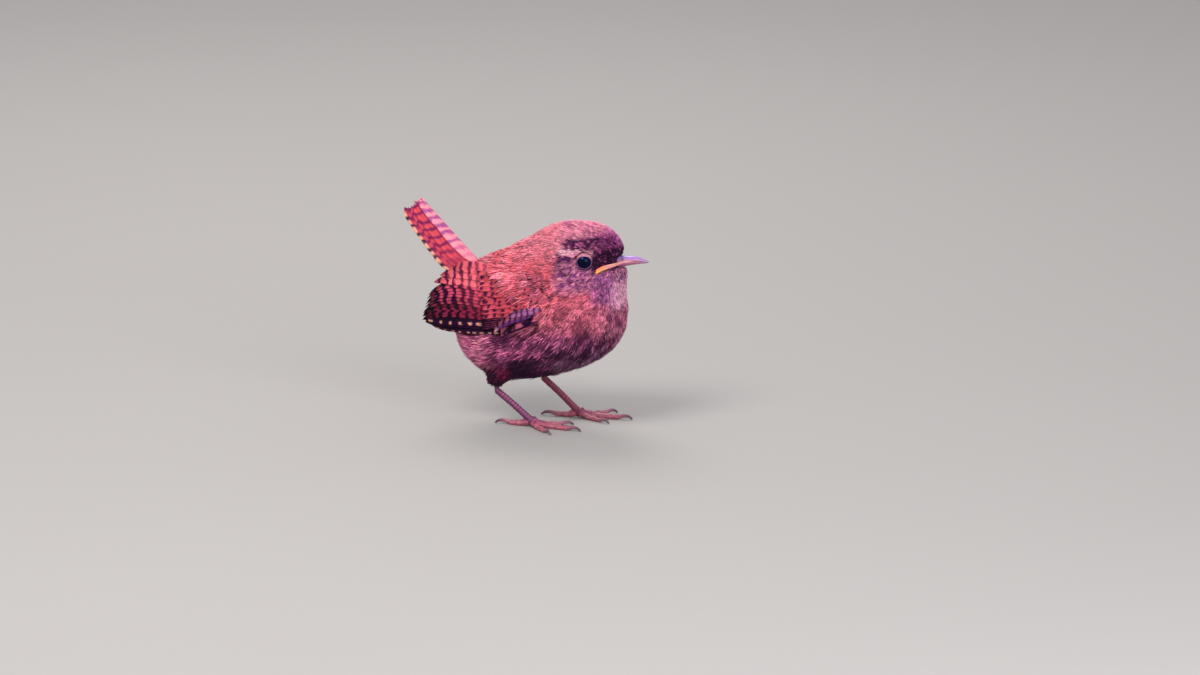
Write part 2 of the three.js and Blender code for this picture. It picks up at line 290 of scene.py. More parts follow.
def finish_piece(
    made: Object, replaces: Sequence[str] = (), material: Material | None = None
) -> Object:
    """Scales a piece from millimetres to metres, dresses it and hangs it on the body.

    Args:
        made: The piece, still in millimetres.
        replaces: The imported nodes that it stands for.
        material: Its finish, where it has none yet.

    Returns:
        The same piece.
    """
    made.data.transform(Matrix.Scale(MM, 4))
    if material is not None:
        dress(made, material)
    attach(made, BODY)
    if replaces:
        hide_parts(*replaces)
    log.info("%s: %d faces", made.name, len(made.data.polygons))
    return made


# Finishes


class NodePaint:
    """Builds one material's node tree, a node at a time."""

    def __init__(self, name: str) -> None:
        """Starts a material with a bare Principled shader."""
        self.material = bpy.data.materials.new(name)
        self.material.use_nodes = True
        self.tree = self.material.node_tree
        self.shader = self.tree.nodes["Principled BSDF"]

    def node(self, kind: str, **settings: object) -> Node:
        """Adds a node and sets its properties."""
        made = self.tree.nodes.new(kind)
        for key, value in settings.items():
            setattr(made, key, value)
        return made

    def wire(self, source: NodeSocket, target: NodeSocket) -> None:
        """Links two sockets."""
        self.tree.links.new(source, target)

    def set(self, **values: object) -> None:
        """Sets constant inputs of the shader, with underscores for spaces in their names."""
        for key, value in values.items():
            self.shader.inputs[key.replace("_", " ")].default_value = value

    def base(self, colour: NodeSocket) -> None:
        """Feeds the shader's base colour."""
        self.wire(colour, self.shader.inputs["Base Color"])

    def value(self, name: str) -> NodeSocket:
        """A number painted on the mesh."""
        return self.node("ShaderNodeAttribute", attribute_name=name).outputs["Fac"]

    def painted(self, name: str = "hue") -> NodeSocket:
        """A colour painted on the mesh."""
        return self.node("ShaderNodeAttribute", attribute_name=name).outputs["Color"]

    def math(self, kind: str, a: object, b: object = 0.0) -> NodeSocket:
        """One arithmetic step on two sockets or numbers."""
        made = self.node("ShaderNodeMath", operation=kind)
        for socket, value in zip(made.inputs, (a, b)):
            if isinstance(value, NodeSocket):
                self.wire(value, socket)
            else:
                socket.default_value = value
        return made.outputs[0]

    def noise(self, scale: float, detail: float = 3.0) -> NodeSocket:
        """Noise on object coordinates, with a scale in cycles to the metre."""
        places = self.node("ShaderNodeTexCoord")
        made = self.node("ShaderNodeTexNoise")
        made.inputs["Scale"].default_value = scale
        made.inputs["Detail"].default_value = detail
        self.wire(places.outputs["Object"], made.inputs["Vector"])
        return made.outputs["Fac"]

    def stepped(self, value: object, low: float, high: float) -> NodeSocket:
        """A smooth step of a socket from 0 at low to 1 at high."""
        made = self.node("ShaderNodeMapRange", interpolation_type="SMOOTHSTEP")
        self.wire(value, made.inputs["Value"])
        made.inputs["From Min"].default_value = low
        made.inputs["From Max"].default_value = high
        return made.outputs["Result"]

    def mixed(self, share: object, first: object, second: object) -> NodeSocket:
        """A colour mix of sockets or linear colours."""
        made = self.node("ShaderNodeMix", data_type="RGBA")
        for socket, value in zip((made.inputs[0], made.inputs[6], made.inputs[7]), (share, first, second)):
            if isinstance(value, NodeSocket):
                self.wire(value, socket)
            elif isinstance(value, float):
                socket.default_value = value
            else:
                socket.default_value = (*value, 1.0)
        return made.outputs[2]

    def bump(self, height: object, strength: float, depth: float) -> None:
        """Roughens the surface by a height socket, to a depth in millimetres."""
        made = self.node("ShaderNodeBump")
        made.inputs["Strength"].default_value = strength
        made.inputs["Distance"].default_value = depth * MM
        self.wire(height, made.inputs["Height"])
        self.wire(made.outputs["Normal"], self.shader.inputs["Normal"])


@dataclass(frozen=True)
class SoftPlumage:
    """Short downy feather, coloured by the coat's own markings."""

    roughness: float = 0.7
    sheen: float = 0.03
    mottle: float = 2600.0
    dusk: Linear = (0.03, 0.004, 0.02)
    dusk_share: float = 0.26

    def material(self) -> Material:
        """Reads the painted colour and lets it vary a little from barb to barb."""
        ink = NodePaint("soft_plumage")
        hue = ink.painted()
        dusk = ink.mixed(self.dusk_share, hue, self.dusk)
        grain = ink.stepped(ink.noise(self.mottle), 0.34, 0.56)
        ink.base(ink.mixed(grain, dusk, hue))
        ink.set(Roughness=self.roughness, Sheen_Weight=self.sheen, Sheen_Roughness=0.45)
        ink.set(Sheen_Tint=(1.0, 0.72, 0.85, 1.0), Specular_IOR_Level=0.08)
        return ink.material


@dataclass(frozen=True)
class BarredVane:
    """Flight, tail and covert feathers: a ground colour crossed by wavy bars."""

    name: str = "wing_vane"
    roughness: float = 0.55
    waver: float = 420.0
    soft: float = 0.8
    shaken: float = 1.0
    worn: float = 1.5
    # The colour and strength of the painted shade in the grooves between ridges.
    crease_shade: Linear = (0.01, 0.004, 0.008)
    crease_shade_share: float = 0.2

    def material(self) -> Material:
        """Draws the bars along each feather's own count of them, and its barbs as fine ridges with painted
        shade between them.
        """
        ink = NodePaint(self.name)
        phase = ink.value("bars")
        shaken = ink.math("ADD", phase, ink.math("MULTIPLY", ink.noise(self.waver), self.shaken))
        wave = ink.math("SINE", ink.math("MULTIPLY", shaken, math.tau))
        worn = ink.math("MULTIPLY", ink.noise(self.waver * 3.1), self.worn)
        above = ink.math("SUBTRACT", wave, ink.value("thin"))
        wave = ink.math("SUBTRACT", above, ink.math("SUBTRACT", worn, self.worn / 2))
        crossed = ink.stepped(wave, -self.soft, self.soft)
        colour = ink.mixed(crossed, ink.painted(), ink.painted("bar_hue"))
        ridge = ink.math("SINE", ink.math("MULTIPLY", ink.value("barbs"), math.tau))
        # Painted shade in the grooves between the barbs.
        shade = ink.mixed(self.crease_shade_share, colour, self.crease_shade)
        ink.base(ink.mixed(ink.stepped(ridge, -1.6, 0.6), shade, colour))
        ink.bump(ridge, 0.45, 0.05)
        ink.set(Roughness=self.roughness, Specular_IOR_Level=0.05)
        return ink.material


@dataclass(frozen=True)
class Horn:
    """Smooth horn of the bill and claws, lit through a little, in its painted colours."""

    name: str = "bill_horn"
    roughness: float = 0.3
    streak: Linear = (0.08, 0.03, 0.06)
    streak_share: float = 0.3

    def material(self) -> Material:
        """Takes the painted colour, with long faint growth streaks."""
        ink = NodePaint(self.name)
        hue = ink.painted()
        shade = ink.mixed(self.streak_share, hue, self.streak)
        ink.base(ink.mixed(ink.stepped(ink.noise(900.0, 5.0), 0.3, 0.75), shade, hue))
        ink.bump(ink.noise(3500.0), 0.25, 0.03)
        ink.set(Roughness=self.roughness, Subsurface_Weight=0.25, Subsurface_Scale=0.0006)
        ink.set(Coat_Weight=0.25, Coat_Roughness=0.2)
        return ink.material


@dataclass(frozen=True)
class BareSkin:
    """Scaled skin of the legs, the lids and the flanges of the mouth."""

    name: str
    roughness: float
    scale: float
    depth: float
    coat: float = 0.1
    crease_shade: Linear = (0.06, 0.01, 0.04)
    crease_shade_share: float = 0.38

    def material(self) -> Material:
        """Takes the painted colour, broken by fine cells that stand proud, with painted shade in the creases
        between them and random darker patches of the same colour.
        """
        ink = NodePaint(self.name)
        hue = ink.painted()
        places = ink.node("ShaderNodeTexCoord")
        cells = ink.node("ShaderNodeTexVoronoi", feature="DISTANCE_TO_EDGE")
        cells.inputs["Scale"].default_value = self.scale
        ink.wire(places.outputs["Object"], cells.inputs["Vector"])
        edge = ink.stepped(cells.outputs["Distance"], 0.0, 0.16)
        # Painted shade for the creases between the cells; the same colour also lays random darker patches.
        shade = ink.mixed(self.crease_shade_share, hue, self.crease_shade)
        patchy = ink.mixed(ink.stepped(ink.noise(700.0), 0.35, 0.7), shade, hue)
        ink.base(ink.mixed(edge, shade, patchy))
        ink.bump(edge, 0.55, self.depth)
        ink.set(Roughness=self.roughness, Coat_Weight=self.coat, Coat_Roughness=0.35)
        ink.set(Subsurface_Weight=0.15, Subsurface_Scale=0.0005)
        return ink.material


@dataclass(frozen=True)
class WetEye:
    """A dark eye behind a wet clear surface."""

    iris: str = "05052c"
    pupil: str = "04040a"

    def material(self) -> Material:
        """Tells pupil from iris by the painted distance from the eye's axis."""
        ink = NodePaint("wet_eye")
        reach = ink.value("reach")
        fibres = ink.math("MULTIPLY", ink.noise(2600.0), 0.12)
        edge = ink.stepped(ink.math("ADD", reach, fibres), 0.66, 0.74)
        pupil = tuple(tone(self.pupil))
        colour = ink.mixed(edge, pupil, tuple(tone(self.iris)))
        ink.base(ink.mixed(ink.stepped(reach, 0.95, 1.15), colour, pupil))
        ink.set(Roughness=0.07, IOR=1.36, Specular_IOR_Level=0.32)
        ink.set(Specular_Tint=(0.3, 0.42, 1.0, 1.0))
        return ink.material


@dataclass(frozen=True)
class PaleFloor:
    """The plain pale floor."""

    colour: str = "8e8b88"

    def material(self) -> Material:
        """A nearly even matt surface."""
        ink = NodePaint("pale_floor")
        base = tone(self.colour)
        ink.base(ink.mixed(ink.noise(6.0), tuple(base), tuple(base * 0.96)))
        ink.set(Roughness=0.85)
        return ink.material


# Where things lie


@dataclass(frozen=True)
class Landmarks:
    """The places that everything is measured from, in the row frame.

    The bird's own coordinates start under the middle of its stance: X forwards, Y to its left,
    Z up. The head's start midway between the eyes, along the way the bill points.
    """

    origin: Array
    eyes: dict[str, Array]
    middle: Array
    forward: Array
    left: Array

    EYES_IN_BIRD = np.array([17.2, 1.65, 55.5])
    BILL_ROOT = (9.8, 0.0, -1.7)

    @classmethod
    def measured(cls) -> "Landmarks":
        """Reads the places of the eyes from the frame."""
        eyes = {}
        for side in SIDES:
            low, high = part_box(f"eye_{side}")
            eyes[side] = np.array((low + high) / 2) / MM
        middle = (eyes["left"] + eyes["right"]) / 2
        left = unit((eyes["left"] - eyes["right"]) * np.array([1, 1, 0]))
        forward = np.array([left[1], -left[0], 0.0])
        return cls(middle - cls.EYES_IN_BIRD, eyes, middle, forward, left)

    def bird(self, points: Array) -> Array:
        """Row frame to the bird's own coordinates."""
        return points - self.origin

    def row(self, points: Array) -> Array:
        """The bird's own coordinates to the row frame."""
        return np.asarray(points, float) + self.origin

    def head(self, points: Array) -> Array:
        """Row frame to forwards, left and up from between the eyes."""
        away = points - self.middle
        return np.stack([away @ self.forward, away @ self.left, away[..., 2]], -1)

    def from_head(self, points: Array) -> Array:
        """Forwards, left and up from between the eyes, to the row frame."""
        points = np.asarray(points, float)
        flat = points[..., :1] * self.forward + points[..., 1:2] * self.left
        return self.middle + flat + points[..., 2:] * np.array([0, 0, 1.0])

    def from_bill(self, points: Array) -> Array:
        """How far each point is from the root of the bill."""
        return np.linalg.norm(points - self.from_head(self.BILL_ROOT), axis=1)


@dataclass(frozen=True)
class PlumageTones:
    """Named colours of the soft plumage."""

    back: str = "e86c7a"
    nape: str = "fa90a4"
    scapular: str = "a84c64"
    mantle_pale: str = "f08a9a"
    crown: str = "ffa4b8"
    crown_dark: str = "b86088"
    crown_side: str = "3c1440"
    forehead: str = "a04680"
    forehead_dark: str = "3c1440"
    lores: str = "1a0520"
    brow: str = "ffc0d4"
    eye_stripe: str = "401444"
    cheek_pale: str = "e08ca8"
    cheek_dark: str = "7c3870"
    malar: str = "b0649c"
    chin: str = "8a4a74"
    throat: str = "ffbcd4"
    breast: str = "d47c98"
    breast_dark: str = "8c4468"
    breast_side: str = "f2829a"
    side_dark: str = "b4566e"
    flank: str = "c0608a"
    flank_low: str = "642850"
    belly: str = "785070"
    belly_dark_and_shade: str = "341430"
    belly_pale: str = "98647c"
    vent: str = "de84a4"
    thigh: str = "6e183a"


@dataclass(frozen=True)
class Markings:
    """The wren's plumage pattern, as a function of place, for skin and coat alike."""

    marks: Landmarks
    tones: PlumageTones = PlumageTones()
    ragged: float = 0.45
    ragged_over: float = 1.1
    face_feather: float = 0.68
    body_feather: float = 1.7
    face_reach: float = 20.0
    drawn_out: float = 0.55
    uneven: float = 0.36
    # How bright the skin under the coat is painted against the coat: painted shade.
    under: float = 0.6

    LIE = (-0.82, 0.0, -0.57)

    def ground(self, points: Array) -> tuple[Array, Array, Array]:
        """The pattern at each point.

        Args:
            points: Places in the row frame.

        Returns:
            The ground colour, the fleck colour and how often a feather takes the fleck colour.
        """
        tones = tones_of(vars(self.tones))
        x, y, z = self.marks.bird(points).T
        f, side, u = self.marks.head(points).T
        w = np.abs(side)
        colour = np.tile(tones["back"], (len(points), 1))
        fleck = np.tile(tones["scapular"], (len(points), 1))
        often = np.full(len(points), 0.22)

        def lay(mask: Array, base: str, spot: str, rate: float) -> None:
            """Lays a marking over those before it."""
            share = np.clip(mask, 0, 1)
            colour[:] = towards(colour, tones[base], share)
            fleck[:] = towards(fleck, tones[spot], share)
            often[:] = often + (rate - often) * share

        lay(band(x, -8, 9, 5) * ramp(z, 44, 50), "back", "mantle_pale", 0.3)
        lay(ramp(x, -14, -4) * ramp(z, 52, 60), "nape", "mantle_pale", 0.3)
        lay(0.3 * band(x, -5, 5, 3) * band(z, 48.5, 1.5, 2.5), "scapular", "mantle_pale", 0.3)
        lay(band(x, 2.5, 2.2, 3) * band(z, 47, 2.5, 3), "scapular", "side_dark", 0.4)
        slope = z - (36.0 + 0.32 * x)
        below = ramp(slope, 5.0, -3.0)
        lay(below, "breast_side", "side_dark", 0.35)
        lay(below * ramp(z, 36, 28), "flank", "flank_low", 0.4)
        front = ramp(x - 0.45 * np.abs(y - 2), 15, 25)
        lay(front * ramp(z, 56, 50), "breast", "breast_dark", 0.35)
        # The belly, the low flanks and the thighs are laid dark, partly their own duller colour and partly
        # painted shade on the underside.
        lay(ramp(z - 0.18 * x, 30, 16) * ramp(x, 0, 9), "belly", "belly_dark_and_shade", 0.45)
        lay(ramp(z - 0.18 * x, 20, 14) * ramp(x, 4, 12), "belly", "belly_pale", 0.25)
        lay(ramp(z, 23.5, 19) * band(x, -3, 7, 5), "flank_low", "belly_dark_and_shade", 0.5)
        lay(ramp(x, -11, -17) * ramp(z, 36, 31), "vent", "flank", 0.35)
        lay(ramp(z, 20.0, 16.5) * ramp(x, 4, -3), "thigh", "belly_dark_and_shade", 0.35)
        # A darker patch low between the legs: painted shade.
        lay(band(x, -3.0, 3.2, 3) * ramp(z, 24.0, 20.5), "belly_dark_and_shade", "eye_stripe", 0.3)
        head = ramp(f, -13, -8) * ramp(u, -12, -7)
        lay(head * ramp(f, -17, -4), "crown", "crown_dark", 0.22)
        lay(head * ramp(u, 2.2, 0.2) * ramp(f, -12.5, -9.5), "cheek_dark", "cheek_pale", 0.5)
        lay(head * band(f, -9.5, 2.0, 2.0) * ramp(u, 1.0, -2.0), "cheek_pale", "cheek_dark", 0.35)
        lay(ramp(f, 0, 5) * ramp(u, -3.5, -6) * ramp(u, -16, -12), "malar", "chin", 0.45)
        lay(ramp(f, 7.5, 10.5) * ramp(u, -5, -8.5) * ramp(u, -18, -14), "throat", "malar", 0.3)
        lay(ramp(f, 9, 11) * ramp(u, -3.5, -4.5) * ramp(u, -9, -7), "chin", "throat", 0.3)
        lay(ramp(f, -4, 3) * ramp(u, 11.5, 8.5) * ramp(u, 4, 6) * 0.7, "crown_dark", "forehead", 0.4)
        crest = 7.5 + 0.1 * f
        side_band = ramp(u, 3.5, 4.2) * ramp(u - crest, 1.2, -0.8) * ramp(f, -9.5, -7.5)
        lay(side_band * ramp(w, 1.4, 3.2), "crown_side", "crown_dark", 0.24)
        lay(ramp(f, 3, 7) * ramp(u, 0.5, 2.5) * ramp(u, 9.8, 6.8), "forehead", "forehead_dark", 0.4)
        rising = ramp(w, 3.8, 1.4) * ramp(f, 3, 7) * band(u, 6.4, 2.4, 1.6)
        lay(0.7 * rising, "malar", "forehead", 0.35)
        dark_front = ramp(f, 0.8, 2.6) * ramp(u, -3.6, -2.4) * ramp(u - 0.05 * f, 4.6, 3.0)
        lay(dark_front, "lores", "forehead", 0.12)
        stripe = band(u, 1.1, 0.5, 0.5) * ramp(f, -11, -9.5) * ramp(f, -1.5, -2.6)
        lay(stripe, "eye_stripe", "cheek_dark", 0.12)
        arch = np.interp(f, (-9.6, -6.9, -3.0, -0.6, 1.9), (2.8, 2.9, 3.4, 3.15, 2.5))
        brow = band(u - arch, 0.0, 0.44 - 0.03 * f, 0.25) * ramp(f, -10.8, -9.6) * ramp(f, 2.8, 1.4)
        lay(brow * ramp(w, 1.6, 3.0), "brow", "cheek_pale", 0.18)
        return colour, fleck, often

    def feathers(self, places: Array) -> tuple[Array, Array]:
        """A number from 0 to 1 for the feather each place falls on, and how near its middle it is."""
        pick, middle = np.empty(len(places)), np.empty(len(places))
        for i, place in enumerate(places.tolist()):
            away, cells = noise.voronoi(place)
            pick[i] = 0.5 + 0.5 * noise.cell(cells[0] * 9.7)
            middle[i] = 1.0 - away[0] / max(away[1], 1e-6)
        return pick, middle

    def colours(self, points: Array) -> Array:
        """The colour at each point, with every marking broken up into feathers."""
        moved = points.copy()
        for i, place in enumerate((points / self.ragged_over).tolist()):
            moved[i] += self.ragged * np.array(noise.noise_vector(place))
        ground, fleck, often = self.ground(moved)
        lie = np.array(self.LIE)
        drawn = points - self.drawn_out * (points @ lie)[:, None] * lie
        near = self.marks.from_bill(moved) < self.face_reach
        size = np.where(near, self.face_feather, self.body_feather)
        places = np.where(near[:, None], points, drawn) / size[:, None]
        pick, middle = self.feathers(places)
        spotted = np.maximum(ramp(pick, often + 0.06, often - 0.06), 0.35 * ramp(middle, 0.14, 0.02))
        brightness = 1 + self.uneven * ((pick * 7.3) % 1.0 - 0.5)
        return towards(ground, fleck, spotted) * brightness[:, None]

    def shade(self, mesh: Mesh) -> None:
        """Paints a surface that lies under the coat in the coat's colours, darker than the coat over it by
        painted shade.
        """
        paint(mesh, "hue", self.under * self.colours(vertex_array(mesh)))


class CoatLie:
    """Which way the coat lies, blended from a few places where it is known."""

    MIDDLE = (
        ((29.0, 3.8, 60.5), (-0.45, 0.0, 0.9)),
        ((24.0, 3.0, 66.0), (-0.9, -0.1, 0.4)),
        ((14.0, 1.6, 67.0), (-1.0, -0.1, -0.05)),
        ((2.0, 0.5, 64.0), (-0.9, 0.0, -0.4)),
        ((-8.0, 0.0, 58.0), (-0.9, 0.0, -0.4)),
        ((-18.0, 0.0, 51.0), (-1.0, 0.0, -0.1)),
        ((30.0, 3.0, 48.0), (-0.1, 0.0, -1.0)),
        ((31.5, 1.0, 38.0), (-0.15, 0.0, -1.0)),
        ((25.0, 0.0, 25.0), (-0.75, 0.0, -0.65)),
        ((10.0, 0.0, 16.0), (-1.0, 0.0, -0.1)),
        ((-8.0, 0.0, 14.5), (-0.95, 0.0, 0.1)),
        ((-20.0, 0.0, 27.0), (-0.6, 0.0, 0.8)),
    )
    SIDED = (
        ((24.5, -4.6, 58.0), (-0.95, -0.3, 0.15)),
        ((13.0, -8.0, 57.0), (-1.0, -0.1, -0.12)),
        ((17.0, -8.5, 51.0), (-0.75, -0.1, -0.6)),
        ((26.0, -3.4, 50.0), (-0.6, -0.1, -0.75)),
        ((3.0, -11.0, 52.0), (-0.85, -0.1, -0.5)),
        ((12.0, -13.0, 45.0), (-0.7, -0.1, -0.7)),
        ((20.0, -12.0, 37.0), (-0.55, 0.0, -0.8)),
        ((10.0, -16.0, 30.0), (-0.7, 0.0, -0.65)),
        ((-5.0, -15.0, 25.0), (-0.85, 0.0, -0.4)),
        ((-16.0, -10.0, 23.0), (-0.9, 0.0, 0.1)),
        ((-7.0, -9.0, 16.0), (-0.55, 0.0, -0.8)),
        ((-8.0, -12.0, 50.0), (-1.0, 0.0, -0.25)),
    )
    EYE_CLEAR = 2.38
    EYE_REACH = 4.6
    PARTING = 0.35
    BLEND = 3.0

    def __init__(self, marks: Landmarks) -> None:
        """Lays the guides out on both sides."""
        self.marks = marks
        guides = [*self.MIDDLE, *self.SIDED]
        guides += [((x, -y, z), (a, -b, c)) for (x, y, z), (a, b, c) in self.SIDED]
        self.at = marks.row([place for place, _ in guides])
        self.way = unit(np.array([way for _, way in guides]))

    def directions(self, points: Array, normals: Array) -> Array:
        """Unit vectors along the surface, from the roots towards the tips."""
        away = np.linalg.norm(points[:, None] - self.at[None], axis=2)
        weight = 1.0 / (away**2 + self.BLEND**2) ** 2
        lie = unit((weight[..., None] * self.way[None]).sum(1))
        for eye in self.marks.eyes.values():
            out = points - eye
            out -= (out * normals).sum(1, keepdims=True) * normals
            reach = np.linalg.norm(out, axis=1)
            out = unit(out)
            inward = np.minimum((lie * out).sum(1), 0.0)
            near = ramp(reach, self.EYE_REACH, self.EYE_CLEAR)
            lie = lie - out * ((inward - self.PARTING) * near)[:, None]
        lie -= (lie * normals).sum(1, keepdims=True) * normals
        return unit(lie)


# The flesh


def gathered(name: str, nodes: Sequence[Object], grow: float) -> Object:
    """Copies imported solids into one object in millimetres.

    Args:
        name: The object's name.
        nodes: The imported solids.
        grow: How far each surface moves out, which closes the thin cuts between them.

    Returns:
        The linked object.
    """
    bm = bmesh.new()
    for node in nodes:
        bm.from_mesh(node.data)
    bmesh.ops.transform(bm, matrix=Matrix.Scale(1 / MM, 4), verts=bm.verts)
    bmesh.ops.remove_doubles(bm, verts=bm.verts, dist=0.002)
    made = from_bmesh(name, bm)
    set_vertices(made.data, vertex_array(made.data) + grow * normal_array(made.data))
    return made


def relaxed(made: Object, rounds: int) -> Object:
    """Applies an object's modifiers, and smooths it a number of times."""
    relax = made.modifiers.new("relax", "SMOOTH")
    relax.factor = 0.5
    relax.iterations = rounds
    return evaluated(made)


def rewrapped(made: Object, voxel: float, rounds: int) -> Object:
    """Wraps an object's closed shapes in one even mesh and relaxes it.

    Args:
        made: The object, whose mesh is replaced.
        voxel: The length of an edge of the new mesh.
        rounds: How many times it is relaxed.

    Returns:
        The same object.
    """
    wrap = made.modifiers.new("wrap", "REMESH")
    wrap.mode = "VOXEL"
    wrap.voxel_size = voxel
    wrap.use_smooth_shade = True
    return relaxed(made, rounds)


@dataclass(frozen=True)
class LegPlan:
    """The joints of one leg, in the bird's own coordinates."""

    knee: tuple[float, float, float]
    heel: tuple[float, float, float]
    hub: tuple[float, float, float]
    heading: float


LEGS = {
    "right": LegPlan((-8.8, -8.6, 21.5), (-11.3, -8.0, 12.0), (1.8, -9.0, 2.1), -8.0),
    "left": LegPlan((3.2, 7.6, 22.5), (-0.4, 7.2, 13.8), (12.4, 8.0, 2.1), 6.0),
}


@dataclass
class Flesh:
    """The bird's closed outline, and the skin that lies under it by the coat's depth."""

    nodes: dict[str, Object]
    marks: Landmarks
    voxel: float = 0.6
    rounds: int = 10
    closing: float = 0.25
    dressed_closing: float = 3.0
    wing_voxel: float = 0.4
    bill_clear: float = 10.1
    skin_rounds: int = 4
    leg_shallower: float = 0.62
    leg_shorter: float = 0.55
    wing_reach: float = 9.0
    arm_depth: float = 0.8

    BODY = ("head", "neck", "trunk", "thigh_left", "thigh_right")
    REACHES = (0.0, 4.0, 10.0, 17.0, 24.0, 34.0)
    DEPTHS = (0.35, 0.45, 0.6, 1.1, 2.1, 2.8)
    LENGTHS = (0.7, 1.0, 1.6, 2.6, 4.2, 6.0)
    LEG_WIDTH = (7.5, 4.5)
    LEG_RUN = (0.1, 0.75)
    BILL_BAND = (-1.5, 1.7, 0.7)
    UPTURNED = 0.45

    def __post_init__(self) -> None:
        """Makes the outlines and the trees for finding places on them."""
        body = [self.nodes[name] for name in self.BODY]
        wings = {side: self.nodes[f"wing_{side}"] for side in SIDES}
        self.body = self.outline("body_outline", body, self.voxel, self.closing)
        all_over = [*body, *wings.values()]
        self.dressed = self.outline("dressed_outline", all_over, self.voxel, self.dressed_closing)
        self.wings = {
            side: self.outline(f"wing_outline_{side}", [node], self.wing_voxel, self.closing)
            for side, node in wings.items()
        }
        self.body_tree = surface_tree(self.body.data)
        self.dressed_tree = surface_tree(self.dressed.data)
        self.wing_trees = {side: surface_tree(wing.data) for side, wing in self.wings.items()}

    def outline(self, name: str, nodes: Sequence[Object], voxel: float, closing: float) -> Object:
        """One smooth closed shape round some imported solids, back at their own size."""
        made = rewrapped(gathered(name, nodes, closing), voxel, self.rounds)
        points = vertex_array(made.data) - closing * normal_array(made.data)
        set_vertices(made.data, points)
        return made

    def leg_share(self, points: Array) -> Array:
        """0 on the body and 1 on the feathered leg, down to the heel."""
        share = np.zeros(len(points))
        for plan in LEGS.values():
            knee, heel = self.marks.row([plan.knee, plan.heel])
            line = heel - knee
            along = np.clip((points - knee) @ line / (line @ line), 0, 1)
            off = np.linalg.norm(points - knee - along[:, None] * line, axis=1)
            share = np.maximum(share, ramp(off, *self.LEG_WIDTH) * ramp(along, *self.LEG_RUN))
        return share

    def depth(self, points: Array) -> Array:
        """How deep the coat is at each point."""
        depth = np.interp(self.marks.from_bill(points), self.REACHES, self.DEPTHS)
        return depth * (1 - self.leg_shallower * self.leg_share(points))

    def sunk(self, made: Object) -> Array:
        """An outline's points moved in by the coat's depth, and drawn back from the bill's sides."""
        points = vertex_array(made.data)
        points -= self.depth(points)[:, None] * normal_array(made.data)
        f, l, u = self.marks.head(points).T
        past = np.maximum(f - self.bill_clear, 0.0) * band(u, *self.BILL_BAND)
        return self.marks.from_head(np.stack([f - past, l, u], -1))

    def length(self, points: Array) -> Array:
        """How long the coat's tufts are at each point."""
        length = np.interp(self.marks.from_bill(points), self.REACHES, self.LENGTHS)
        return length * (1 - self.leg_shorter * self.leg_share(points))

    def covered(self, points: Array, normals: Array) -> Array:
        """Whether a folded wing lies over each point."""
        found = np.zeros(len(points), bool)
        for side, sign in SIDES.items():
            tree = self.wing_trees[side]
            for i in np.flatnonzero(self.marks.bird(points)[:, 1] * sign > 0):
                start = Vector(points[i])
                ways = [Vector(normals[i])]
                if normals[i][2] < self.UPTURNED:
                    ways.append(Vector((0, sign, 0)))
                hits = (tree.ray_cast(start + way * 0.05, way, self.wing_reach)[0] for way in ways)
                found[i] = any(hit is not None for hit in hits)
        return found

    def under_skin(self, markings: Markings, finish: Material) -> Object:
        """The skin of the body, painted as the coat over it is but darker, with painted shade under the coat.
        """
        skin = link("under_skin", self.body.data.copy())
        set_vertices(skin.data, self.sunk(skin))
        markings.shade(relaxed(skin, self.skin_rounds).data)
        return dress(skin, finish)

    def clear(self) -> None:
        """Removes the outlines once everything is fitted to them."""
        for made in (self.body, self.dressed, *self.wings.values()):
            bpy.data.objects.remove(made)


# The coat


class Region(Enum):
    """The pieces of the coat, by where their tufts are rooted."""

    CROWN = "coat_crown"
    FACE_LEFT = "coat_face_left"
    FACE_RIGHT = "coat_face_right"
    THROAT = "coat_throat"
    NAPE = "coat_nape"
    BACK = "coat_back"
    BREAST = "coat_breast"
    BELLY = "coat_belly"
    VENT = "coat_vent"
    FLANK_LEFT = "coat_flank_left"
    FLANK_RIGHT = "coat_flank_right"
    THIGH_LEFT = "coat_thigh_left"
    THIGH_RIGHT = "coat_thigh_right"
    SHOULDER_LEFT = "coat_shoulder_left"
    SHOULDER_RIGHT = "coat_shoulder_right"


@dataclass
class Roots:
    """Where tufts are rooted: places, the surface's normals there and whether a wing covers them."""

    points: Array
    normals: Array
    hidden: Array

    def only(self, keep: Array) -> "Roots":
        """The roots that a mask or a list of numbers picks."""
        return Roots(self.points[keep], self.normals[keep], self.hidden[keep])


